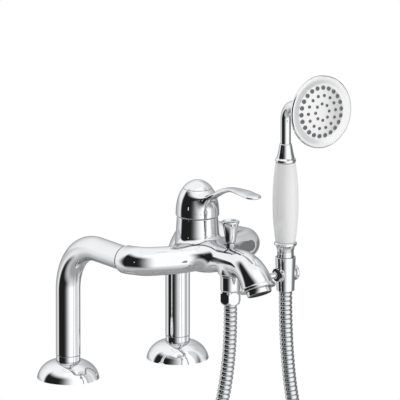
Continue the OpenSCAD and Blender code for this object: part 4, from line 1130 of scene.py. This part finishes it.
@dataclass
class Cradle:
    """The tilting cradle on its bracket arm."""

    pivot_z: float = 140.6
    low: float = 121.5
    high: float = 160.0
    low_r: float = 9.95
    high_r: float = 11.4
    wall: float = 1.1
    arm_r: float = 3.3
    arm_ledge: float = 0.9
    root_x: float = 8.1
    gap: float = 0.6
    pin_r: float = 3.5
    pin_len: float = 2.8
    pin_gap: float = 0.05
    disc_r: float = 9.2
    disc_x: float = 12.6
    disc_depth: float = 6.2
    disc_step: float = 1.5
    dome_r: float = 4.4
    cap_inset: float = 0.7
    cap_h: float = 3.0

    def across(self, x: float) -> Matrix:
        """A frame whose Z runs along the pivot, from x."""
        return at(x, -OUTLET_Y, self.pivot_z) @ Matrix.Rotation(math.pi / 2, 4, "Y")

    def arm(self) -> None:
        """Turns the bracket's arm and its pivot pin."""
        face, end_r = CRADLE_X - self.disc_x - self.gap, self.arm_r + self.arm_ledge
        outline = rounded([(0, self.root_x), (self.arm_r, self.root_x), (self.arm_r, face - 2.2, 0.4),
                           (end_r, face - 1.6, 0.4), (end_r, face, 0.2), (self.pin_r, face),
                           (self.pin_r, face + self.pin_len), (0, face + self.pin_len)])
        Bench.turned("bracket_bar", outline, self.across(0), Body.BASE, "bracket_arm", steps=72, closed=False)

    def sleeve(self) -> None:
        """Turns the tapered sleeve that holds the hand shower."""
        outline = rounded([(self.low_r - self.wall, self.low), (self.low_r, self.low, 0.5),
                           (self.low_r + 0.15, self.low + 3.5, 0.6), (self.high_r - 0.1, self.high - 4, 0.8),
                           (self.high_r, self.high, 0.5), (self.high_r - self.wall, self.high)])
        Bench.turned("cradle_tube", outline, at(CRADLE_X, -OUTLET_Y, 0), Body.CRADLE, "cradle_sleeve")

    def pivot(self) -> None:
        """Turns the domed inner boss, the flat outer boss and the cap."""
        r, bore, step = self.disc_r, self.pin_r + self.pin_gap, self.disc_r - self.disc_step
        back = [(step, self.disc_depth), (bore, self.disc_depth), (bore, 0)]
        inner = rounded([(bore, 0), (self.dome_r, 0, 0.3), (r - 1.6, 2.2, 2.0), (r, 4.0, 0.8), (r, 4.6, 0.4),
                         (step, 5.4, 0.5), *back])
        outer = rounded([(bore, 0), (r, 0, 0.8), (r, 2.4, 0.6), (step, 4.2, 0.8), *back])
        end = self.across(CRADLE_X + self.disc_x)
        sides = (("inner", inner, self.across(CRADLE_X - self.disc_x)),
                 ("outer", outer, end @ Matrix.Rotation(math.pi, 4, "X")))
        for side, outline, place in sides:
            Bench.turned(f"pivot_boss_{side}", outline, place, Body.CRADLE, steps=72, closed=False)
        edge = r - self.cap_inset
        cap = [(0, 0)] + rounded([(edge, 0), (edge, 0.7, 0.4), (r - 3, 2.1, 4.0), (0.01, self.cap_h)], 10)
        Bench.turned("pivot_cap", cap, end, Body.CRADLE, "cradle_cap", steps=72, closed=False)

    def build(self) -> None:
        """Builds the arm, the sleeve and the pivot."""
        self.arm()
        self.sleeve()
        self.pivot()


@dataclass
class HandShower:
    """The hand shower: cone, ferrules, porcelain grip, bent neck, head and spray face."""

    bore_r: float = 5.0
    cone_low: Pair = (8.1, 122.5)
    cone_high: Pair = (9.47, 159.0)
    cone_top: float = 166.0
    neck_in_r: float = 9.2
    ferrule_bore_r: float = 6.6
    bead_r: float = 12.7
    bead_step: float = 1.3
    grip_low: float = 177.2
    grip_high: float = 268.2
    grip_end_r: float = 11.2
    grip_mid_r: float = 14.65
    grip_bore_r: float = 7.0
    grip_flat_r: float = 9.0
    grip_edge: float = 0.5
    grip_fit: float = 0.05
    grip_steps: int = 48
    joint: float = 0.1
    top_bead_r: float = 11.5
    ferrule_top: float = 289.6
    neck_r: float = 5.8
    neck_lap: float = 4.0
    neck_past: float = 2.0
    neck_sides: int = 72
    bend_r: float = 18.4
    bend_steps: int = 32
    face_y: float = 275.4
    face_z: float = 339.2
    tilt: float = 4.0
    depth: float = 19.0
    hub: float = 4.2
    # The head's back and inside as radius and height over the plane that lies its depth behind the face.
    back: Outline = ((14, 3), (22, 6), (30, 9.4), (36, 12.9))
    inside: Outline = ((36, 14.2), (22, 7.6), (8.8, 1.6), (4.6, 1.6))
    bowl_r: float = 39.3
    bowl_lip_r: float = 37.6
    head_r: float = 40.5
    face_r: float = 38.4
    face_fit: float = 0.05
    face_steps: int = 40
    face_back: Outline = ((0, -6), (32, -6), (37.1, -3.9), (37.1, -2))
    slope_r: float = 37.4
    field_r: float = 30.2
    dish: float = 2.2
    border_rise: float = 1.9
    crown: float = 2.9
    # How many nozzles stand on a ring, the ring's radius and their own.
    nozzle_rings: tuple[tuple[int, float, float], ...] = ((22, 26.9, 2.65), (14, 18.4, 1.95), (8, 9.2, 1.85))
    nub_h: float = 1.9
    nub_shoulder: float = 1.2
    nub_sink: float = 1.0

    def face_height(self, r: float) -> float:
        """The spray face's height over its rim plane: a crowned field in a rising border.

        Args:
            r: The radius.

        Returns:
            The height there.
        """
        if r > self.field_r:
            t = min(1.0, (r - self.field_r) / (self.slope_r - self.field_r))
            return -self.dish + self.border_rise * (0.5 * t + 0.5 * t * t * (3 - 2 * t))
        return -self.dish + self.crown * (1 - (r / self.field_r) ** 2)

    def seat(self) -> Matrix:
        """The face's frame, with its Z out of the face."""
        return at(CRADLE_X, -self.face_y, self.face_z) @ Matrix.Rotation(math.radians(90 - self.tilt), 4, "X")

    def grip_outline(self) -> Profile:
        """Draws the grip: one shallow arc between two flat ends.

        Returns:
            The outline's points.
        """
        low, high = self.grip_low, self.grip_high
        half, sag = (high - low) / 2, self.grip_mid_r - self.grip_end_r
        radius = (half * half + sag * sag) / (2 * sag)
        turn = math.degrees(math.asin(half / radius))
        belly = arc((self.grip_mid_r - radius, (high + low) / 2), radius, -turn, turn,
                    self.grip_steps)
        end_r = self.grip_end_r - self.grip_fit
        outline = [(self.grip_bore_r, low)]
        outline += rounded([(self.grip_flat_r, low), (end_r, low, self.grip_edge), belly[1]]) + belly[2:-2]
        outline += rounded([belly[-2], (end_r, high, self.grip_edge), (self.grip_flat_r, high)])
        return outline + [(self.grip_bore_r, high)]

    def stem(self) -> None:
        """Turns the pieces on the upright axis."""
        seat = at(CRADLE_X, -OUTLET_Y, 0)
        r, top = self.neck_in_r, self.cone_top
        cone = [(self.bore_r, self.cone_low[1]), self.cone_low, self.cone_high, (r, top - 1), (r, top),
                (self.bore_r, top)]
        Bench.turned("cradle_cone", cone, seat, Body.HANDSET, "hose_cone")
        bead, z = self.bead_r, self.grip_low
        low = rounded([(self.ferrule_bore_r, top), (r, top, 0.3), (r, z - 10.6, 4.0), (r + 0.9, z - 6.6, 3.0),
                       (bead - self.bead_step, z - 4.4, 0.8), (bead, z - 3.2, 0.9), (bead, z - 0.9, 0.9),
                       (bead - self.bead_step, z - self.joint, 0.4), (self.ferrule_bore_r, z - self.joint)])
        Bench.turned("grip_seat_ring", low, seat, Body.HANDSET, "lower_ferrule")
        Bench.turned("porcelain_grip", self.grip_outline(), seat, Body.HANDSET, "grip", finish=GLAZE)
        bead, z, r, top = self.top_bead_r, self.grip_high, self.neck_r, self.ferrule_top
        high = rounded([(self.bore_r, z + self.joint), (bead - 1.1, z + self.joint, 0.3),
                        (bead, z + 1.1, 0.9), (bead, z + 3.4, 1.0), (bead - 1.0, z + 4.6, 0.4),
                        (bead - 1.6, z + 5.4, 0.5), (r + 2.6, z + 12, 6.0), (r + 1.0, top - 0.6, 0.5),
                        (r + 0.3, top, 0.2), (r, top - self.neck_lap), (self.bore_r, top - self.neck_lap)])
        Bench.turned("neck_ferrule", high, seat, Body.HANDSET, "upper_ferrule")

    def neck(self) -> None:
        """Skins the neck straight up, round its bend and on to the head."""
        tilt = math.radians(self.tilt)
        hub_y = self.face_y - (self.depth + self.neck_past) * math.cos(tilt)
        end_y = OUTLET_Y + self.bend_r * (1 - math.sin(tilt))
        turn_z = self.face_z - (self.face_y - end_y) * math.tan(tilt) - self.bend_r * math.cos(tilt)
        low = Vector((CRADLE_X, -OUTLET_Y, self.ferrule_top - self.neck_lap))
        rings = [(low, Vector((0, 0, 1)), self.neck_r)]
        for i in range(self.bend_steps + 1):
            a = (math.pi / 2 - tilt) * i / self.bend_steps
            spot = (CRADLE_X, -OUTLET_Y - self.bend_r * (1 - math.cos(a)), turn_z + self.bend_r * math.sin(a))
            rings.append((Vector(spot), Vector((0, -math.sin(a), math.cos(a))), self.neck_r))
        hub = Vector((CRADLE_X, -hub_y, self.face_z - (self.face_y - hub_y) * math.tan(tilt)))
        rings.append((hub, Vector((0, -math.cos(tilt), math.sin(tilt))), self.neck_r))
        neck = Bench.tube("bent_neck", rings, self.neck_sides, (1, 0, 0))
        Bench.finish(neck, CHROME, Body.HANDSET, "neck")

    def head(self) -> None:
        """Turns the head's back, its rim and the white face."""
        d, r, seat = self.depth, self.neck_r, self.seat()
        bowl = flowing([(r + 0.1, -d - self.hub), (r + 1.8, -d - 3.6), (r + 2.8, -d - 0.6),
                        *((ring, h - d) for ring, h in self.back), (self.bowl_r - 0.1, -5.2)])
        bowl += [(self.bowl_r, -2.05), (self.bowl_lip_r, -2.05), (self.bowl_lip_r, -4)]
        bowl += [(ring, h - d) for ring, h in self.inside] + [(self.inside[-1][0], -d - self.hub)]
        Bench.turned("head_bowl", bowl, seat, Body.HANDSET, "head_shell", steps=128)
        inner = self.face_r + self.face_fit
        rim = rounded([(self.bowl_r, -2), (self.bowl_r, -4.4), (self.bowl_r + 0.5, -4.6, 0.3),
                       (self.head_r, -3.6, 0.6), (self.head_r, -1.7, 0.25), (self.head_r - 0.75, -0.5, 0.15),
                       (self.head_r - 1.4, -0.22, 0.15), (inner, -0.22, 0.1), (inner, -2)])
        # The rim's finish paints shade on its glancing edge.
        Bench.turned("head_ring", rim, seat, Body.HANDSET, "head_rim", finish=RIM_CHROME_SHADED_EDGE, steps=128)
        radii = [self.face_r * (1 - i / self.face_steps) for i in range(self.face_steps + 1)]
        face = [*self.face_back, (self.face_r, -2)] + [(ring, self.face_height(ring)) for ring in radii]
        Bench.turned("spray_plate", face, seat, Body.HANDSET, "face_plate", finish=FACE_ABS, steps=128,
                     closed=False, angle=60.0)

    def nozzles(self) -> None:
        """Turns one nozzle of each size and sets copies round the three rings."""
        parts = []
        for count, ring, r in self.nozzle_rings:
            low = self.face_height(ring) - self.nub_sink
            nub = rounded([(r, 0), (r, self.nub_shoulder, 0.3), (r * 0.82, self.nub_h, 0.5),
                           (r * 0.4, self.nub_h, 0.2), (r * 0.36, self.nub_shoulder),
                           (0, self.nub_shoulder)], 3)
            first = Bench.lathe("nozzle", nub, Matrix(), 20)
            for i in range(count):
                place = self.seat() @ Matrix.Rotation(2 * math.pi * i / count, 4, "Z") @ at(ring, 0, low)
                place.translation = place.translation * MM
                copy = first.copy()
                copy.data = first.data.copy()
                copy.data.transform(place)
                bpy.context.scene.collection.objects.link(copy)
                parts.append(copy)
            bpy.data.objects.remove(first)
        Bench.clear()
        for part in parts:
            part.select_set(True)
        bpy.context.view_layer.objects.active = parts[0]
        bpy.ops.object.join()
        parts[0].name = "spray_nozzles"
        Bench.finish(parts[0], SILICONE, Body.HANDSET, "nozzles")

    def build(self) -> None:
        """Builds the hand shower."""
        self.stem()
        self.neck()
        self.head()
        self.nozzles()


@dataclass
class Hose:
    """The ribbed hose: down from the outlet, through its put-away coil and up into the cradle."""

    outlet_z: float = 119.0
    top_z: float = 133.5
    radius: float = 7.5
    pitch: float = 5.2
    groove: float = 1.6
    # The depth of each ring of a rib, from groove to groove, as a share of the groove's.
    cuts: tuple[float, ...] = (1.0, 0.42, 0.08, 0.0, 0.0, 0.0, 0.0, 0.0, 0.08, 0.42)
    sides: int = 24
    strand_steps: int = 40
    # Heights of the two handles that bend each strand.
    fall_handles: Pair = (-40.0, -60.0)
    rise_handles: Pair = (-100.0, -90.0)
    coil_r: float = 90.0
    coil_pitch: float = 17.0
    coil_turns: float = 1.5
    coil_steps: int = 72
    coil_x: float = 40.0
    coil_y: float = -196.0
    coil_z: float = -203.0
    length_m: float = 1.52
    slack: float = 46.0
    slack_up: float = 2.0
    slack_gap: float = 0.15
    path_gap: float = 8.0
    # Two ends of a slanted line between the falling strand and the rising strand; nothing in the script uses
    # them.
    bend_from: Point = (30.8, -OUTLET_Y, 75.8)
    bend_to: Point = (CRADLE_X, -OUTLET_Y, 98.0)

    def drop(self, top: Vector, low: Vector, heights: Pair) -> list[Vector]:
        """A strand that leaves straight down, eases across and arrives straight.

        Args:
            top: The end at the fitting.
            low: The end at the coil.
            heights: Heights of the curve's two handles, below top and above low.

        Returns:
            Points from top to low.
        """
        straight = Vector((0, 0, 2 * self.radius))
        p0, p1, p2, p3 = top - straight, top.copy(), low.copy(), low + straight
        p1.z, p2.z = heights
        curve = []
        for i in range(self.strand_steps + 1):
            t = i / self.strand_steps
            curve.append(p0 * (1 - t) ** 3 + p1 * 3 * t * (1 - t) ** 2
                         + p2 * 3 * t * t * (1 - t) + p3 * t ** 3)
        return [top, *curve, low]

    def line(self) -> list[Vector]:
        """Draws the hose's whole centreline.

        Returns:
            Its points in millimetres, from the outlet to the cradle.
        """
        coil = []
        for i in range(self.coil_steps + 1):
            turns = self.coil_turns * i / self.coil_steps
            a = 2 * math.pi * turns
            coil.append(Vector((self.coil_x - self.coil_r * math.cos(a),
                                self.coil_y - self.coil_pitch * turns,
                                self.coil_z - self.coil_r * math.sin(a))))
        low_z = self.coil_z + 2 * self.radius
        left = Vector((self.coil_x - self.coil_r, self.coil_y, low_z))
        right = Vector((self.coil_x + self.coil_r, self.coil_y - self.coil_pitch * self.coil_turns, low_z))
        fall = self.drop(Vector((0, -OUTLET_Y, self.outlet_z)), left, self.fall_handles)
        rise = self.drop(Vector((CRADLE_X, -OUTLET_Y, self.top_z)), right, self.rise_handles)
        return fall + coil + rise[::-1]

    def even(self, points: list[Vector], gap: float) -> list[Vector]:
        """Points at an even gap along a line.

        Args:
            points: The line.
            gap: The distance between two points.

        Returns:
            The new points, with both ends kept.
        """
        sums = np.concatenate([[0], np.cumsum([(b - a).length for a, b in zip(points, points[1:])])])
        marks = np.linspace(0, sums[-1], int(round(sums[-1] / gap)) + 1)
        table = np.array([list(p) for p in points])
        return [Vector(spot) for spot in np.stack([np.interp(marks, sums, axis) for axis in table.T], -1)]

    def ribbed(self, name: str, points: list[Vector], radius: float) -> bpy.types.Object:
        """Skins a ribbed tube along a line.

        Args:
            name: The piece's name.
            points: The line.
            radius: The radius over the ribs.

        Returns:
            The ribbed tube.
        """
        parts = len(self.cuts)
        spots = self.even(points, self.pitch / parts)
        rings = []
        for i, spot in enumerate(spots):
            ahead, back = spots[min(i + 1, len(spots) - 1)], spots[max(i - 1, 0)]
            rings.append((spot, (ahead - back).normalized(), radius - self.groove * self.cuts[i % parts]))
        return Bench.tube(name, rings, self.sides, (0, 1, 0))

    def build(self) -> None:
        """Builds the hose, and the length that follows the hand shower inside it."""
        points = self.line()
        hose = self.ribbed("ribbed_hose", points, self.radius)
        hose.data.materials.append(HOSE_CHROME.material())
        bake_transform(hose)
        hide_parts("hose_fall", "hose_coil", "hose_rise")
        top = Vector((CRADLE_X, -OUTLET_Y, self.top_z + self.slack_up))
        slack = self.ribbed("hose_slack", [top, top - Vector((0, 0, self.slack))],
                            self.radius - self.groove - self.slack_gap)
        Bench.finish(slack, HOSE_CHROME, Body.HANDSET)
        LOG.info("made %s", hose.name)


@dataclass(frozen=True)
class Patch:
    """A soft-edged patch of the room, in degrees round from the camera and up from level.

    Attributes:
        weight: How much light it adds, or takes where it is negative.
        turn: Its two sides and their softness, with the right of the camera positive. None is all round.
        rise: Its two edges and their softness. None is from the floor to the ceiling.
    """

    weight: float
    turn: Point | None = None
    rise: Point | None = None


@dataclass
class Studio:
    """Camera, floor and light: a white room with one dark card to the left of the camera."""

    target: Point = (0.0969, -0.0125, 0.1814)
    toward: Point = (-0.5627, -0.7889, 0.2462)
    depth: float = 0.15
    lens: float = 1500.0
    sensor: float = 36.0
    width: float = 0.4444
    floor_z: float = -0.335
    floor_size: float = 60.0
    floor_fade: Pair = (0.55, 0.95)
    card: Patch = Patch(-0.985, rise=(-40, 42, 12))
    card_left: Pair = (-107.0, -92.0)
    card_fade: Pair = (-46.0, 26.0)
    card_power: float = 1.6
    strip: Patch = Patch(-0.45, (78, 100, 6), (-60, 55, 12))
    window: Patch = Patch(0.1, (-22, 76, 8), (-30, 74, 4))
    cornice: Patch = Patch(-0.15, rise=(74, 77, 0.8))
    dim_wall: Patch = Patch(-0.35, (112, 168, 12), (-30, 48, 12))
    right_shade: Patch = Patch(-0.7, (126, 154, 10))
    left_shade: Patch = Patch(-0.3, (-230, -112, 12))
    spark: Patch = Patch(1.0, (-52, -48, 1.2), (-2, 4, 1.2))
    ground_fall: Pair = (-24.0, -62.0)
    ground_level: float = 0.38
    horizon: Pair = (-2.0, 2.0)
    matt_level: float = 0.78
    flag_at: Point = (0.295, -0.265, 0.2)
    flag_size: Point = (0.17, 0.8, 1)
    flag_reach: Pair = (0.29, 0.36)
    flag_level: Pair = (0.2, 0.75)
    lamp_at: Point = (1.5, -2.2, 1.9)
    lamp_size: float = 1.6
    lamp_power: float = 26.0

    def camera(self) -> None:
        """Sets the camera at the photograph's viewing angle, far off on a long lens."""
        data = bpy.data.cameras.new("camera")
        data.lens, data.sensor_width = self.lens, self.sensor
        data.clip_start, data.clip_end = 0.5, 60.0
        cam = bpy.data.objects.new("camera", data)
        bpy.context.scene.collection.objects.link(cam)
        toward = Vector(self.toward).normalized()
        cam.location = Vector(self.target) + toward * (self.width * self.lens / self.sensor + self.depth)
        cam.rotation_mode = "QUATERNION"
        cam.rotation_quaternion = (-toward).to_track_quat("-Z", "Y")
        bpy.context.scene.camera = cam

    @staticmethod
    def paint(obj: bpy.types.Object, name: str) -> bpy.types.NodeTree:
        """Gives a stage object an empty material.

        Args:
            obj: The object.
            name: The material's name.

        Returns:
            The material's node tree.
        """
        made = bpy.data.materials.new(name)
        made.use_nodes = True
        made.node_tree.nodes.clear()
        obj.data.materials.append(made)
        return made.node_tree

    def floor(self) -> None:
        """Lays the pale floor below the hose's coil."""
        Bench.clear()
        bpy.ops.mesh.primitive_plane_add(size=self.floor_size, location=(0, 0, self.floor_z))
        floor = bpy.context.object
        floor.name = "floor"
        tree = self.paint(floor, "pale_floor")
        path = add_node(tree, "ShaderNodeLightPath")
        spot = add_node(tree, "ShaderNodeTexCoord").outputs["Object"]
        reach = add_node(tree, "ShaderNodeVectorMath", {0: spot}, operation="LENGTH").outputs["Value"]
        far = add_node(tree, "ShaderNodeMapRange", {"Value": reach, "From Min": self.floor_fade[0],
                                                    "From Max": self.floor_fade[1]},
                       interpolation_type="SMOOTHSTEP").outputs[0]
        shown = add_node(tree, "ShaderNodeMath", {0: far, 1: path.outputs["Is Camera Ray"]},
                         operation="MULTIPLY").outputs[0]
        matt = add_node(tree, "ShaderNodeBsdfDiffuse", {"Color": linear("#E9E9E9")})
        bright = add_node(tree, "ShaderNodeEmission", {"Color": linear("#FFFFFF"), "Strength": 1.0})
        mix = add_node(tree, "ShaderNodeMixShader", {0: shown, 1: matt.outputs[0], 2: bright.outputs[0]})
        add_node(tree, "ShaderNodeOutputMaterial", {"Surface": mix.outputs[0]})
        floor.visible_glossy = False

    def world(self) -> None:
        """Makes the room: white in front, grey behind, and the dark card that chrome needs."""
        world = bpy.data.worlds.new("studio")
        bpy.context.scene.world = world
        world.use_nodes = True
        tree = world.node_tree
        tree.nodes.clear()

        def tone(level: object, patch: Patch, share: object = 1.0) -> bpy.types.Node:
            """Adds a patch's weight to a level where the patch lies.

            Args:
                level: The level, as a number or a node.
                patch: The patch.
                share: How much of the patch counts, as a number or a node.

            Returns:
                The node of the new level.
            """
            for angle, span in ((turn, patch.turn), (rise, patch.rise)):
                if span is None:
                    continue
                low, high, soft = span
                for end, first in ((low, 0.0), (high, 1.0)):
                    edge = add_node(tree, "ShaderNodeMapRange", {
                        "Value": angle, "From Min": end - soft, "From Max": end + soft,
                        "To Min": first, "To Max": 1.0 - first}, interpolation_type="SMOOTHSTEP")
                    share = add_node(tree, "ShaderNodeMath", {0: share, 1: edge}, operation="MULTIPLY")
            return add_node(tree, "ShaderNodeMath", {0: share, 1: patch.weight, 2: level},
                            operation="MULTIPLY_ADD")

        way = add_node(tree, "ShaderNodeTexCoord").outputs["Generated"]
        front = Vector((self.toward[0], self.toward[1], 0)).normalized()
        right = Vector((-front.y, front.x, 0))
        ahead, aside = (add_node(tree, "ShaderNodeVectorMath", {0: way, 1: axis},
                                 operation="DOT_PRODUCT").outputs["Value"] for axis in (front, right))
        up = add_node(tree, "ShaderNodeSeparateXYZ", {0: way}).outputs["Z"]
        turn = add_node(tree, "ShaderNodeMath", {0: aside, 1: ahead}, operation="ARCTAN2")
        rise = add_node(tree, "ShaderNodeMath", {0: up}, operation="ARCSINE")
        turn, rise = (add_node(tree, "ShaderNodeMath", {0: angle, 1: 180 / math.pi}, operation="MULTIPLY")
                      for angle in (turn, rise))
        spans = ((turn, self.card_left, "SMOOTHSTEP"), (turn, self.card_fade, "SMOOTHSTEP"),
                 (rise, self.ground_fall, "LINEAR"), (rise, self.horizon, "LINEAR"))
        left, fade, below, skyline = (
            add_node(tree, "ShaderNodeMapRange", {"Value": angle, "From Min": start, "From Max": end},
                     interpolation_type=kind) for angle, (start, end), kind in spans)
        fade = add_node(tree, "ShaderNodeMath", {0: fade, 1: self.card_power}, operation="POWER")
        fade = add_node(tree, "ShaderNodeMath", {0: 1.0, 1: fade}, operation="SUBTRACT")
        fade = add_node(tree, "ShaderNodeMath", {0: left, 1: fade}, operation="MULTIPLY")
        wall = tone(tone(1.0, self.cornice), self.window)
        ground = tone(tone(wall, self.right_shade), self.left_shade)
        ground = add_node(tree, "ShaderNodeMix", {"Factor": below, 2: ground, 3: self.ground_level},
                          data_type="FLOAT")
        level = add_node(tree, "ShaderNodeMix", {"Factor": skyline, 2: ground, 3: tone(wall, self.dim_wall)},
                         data_type="FLOAT")
        for cover in (tone(1.0, self.card, fade), tone(1.0, self.strip)):
            level = add_node(tree, "ShaderNodeMath", {0: level, 1: cover}, operation="MULTIPLY")
        path = add_node(tree, "ShaderNodeLightPath").outputs
        glossy = add_node(tree, "ShaderNodeMix", {"Factor": path["Is Glossy Ray"], 2: self.matt_level,
                                                  3: tone(level, self.spark)}, data_type="FLOAT")
        seen = add_node(tree, "ShaderNodeMix", {"Factor": path["Is Camera Ray"], 2: glossy, 3: 1.0},
                        data_type="FLOAT")
        sky = add_node(tree, "ShaderNodeBackground", {"Color": linear("#FFFFFF"), "Strength": seen})
        add_node(tree, "ShaderNodeOutputWorld", {"Surface": sky})

    def flag(self) -> None:
        """Stands a dark flag to the right of the hand shower, seen in its chrome alone."""
        Bench.clear()
        bpy.ops.mesh.primitive_plane_add(size=1, location=self.flag_at)
        flag = bpy.context.object
        flag.name = "flag"
        flag.scale = self.flag_size
        flag.rotation_mode = "QUATERNION"
        shower = Vector((CRADLE_X * MM, -OUTLET_Y * MM, self.flag_at[2]))
        flag.rotation_quaternion = (shower - Vector(self.flag_at)).to_track_quat("Z", "Y")
        tree = self.paint(flag, "flag_cloth")
        length = add_node(tree, "ShaderNodeLightPath").outputs["Ray Length"]
        far = add_node(tree, "ShaderNodeMapRange", {
            "Value": length, "From Min": self.flag_reach[0], "From Max": self.flag_reach[1],
            "To Min": self.flag_level[0], "To Max": self.flag_level[1]}).outputs[0]
        cloth = add_node(tree, "ShaderNodeEmission", {"Color": linear("#FFFFFF"), "Strength": far})
        add_node(tree, "ShaderNodeOutputMaterial", {"Surface": cloth.outputs[0]})
        flag.visible_camera = flag.visible_diffuse = flag.visible_shadow = flag.visible_transmission = False

    def lamp(self) -> None:
        """Hangs one large soft lamp to the right, above the camera."""
        data = bpy.data.lights.new("key", "AREA")
        data.shape, data.size, data.energy = "DISK", self.lamp_size, self.lamp_power
        key = bpy.data.objects.new("key", data)
        bpy.context.scene.collection.objects.link(key)
        key.location = Vector(self.lamp_at)
        key.rotation_mode = "QUATERNION"
        key.rotation_quaternion = (Vector(self.target) - key.location).to_track_quat("-Z", "Y")
        key.visible_glossy = False

    def build(self) -> None:
        """Sets up the whole studio."""
        bpy.context.scene.view_settings.view_transform = "Standard"
        self.camera()
        self.floor()
        self.world()
        self.flag()
        self.lamp()


def dress_frame() -> None:
    """Gives every CAD node that still shows the finish of its slot."""
    by_slot = {finish.slot: finish for finish in FINISHES}
    for part in frame["record"]["subparts"]:
        node = frame["nodes"][part["node"]]
        node.data.materials.clear()
        node.data.materials.append(by_slot[part["material_slot"]].material())


def main() -> None:
    """Builds the mixer piece by piece."""
    logging.basicConfig(level=logging.INFO)
    dress_frame()
    for assembly in (Studio(), Hose(), Leg(-1, "left"), Leg(1, "right"), MixerBody(), LeverHandle(),
                     Diverter(), Outlet(), Cradle(), HandShower()):
        assembly.build()


if __name__ == "__main__":
    main()
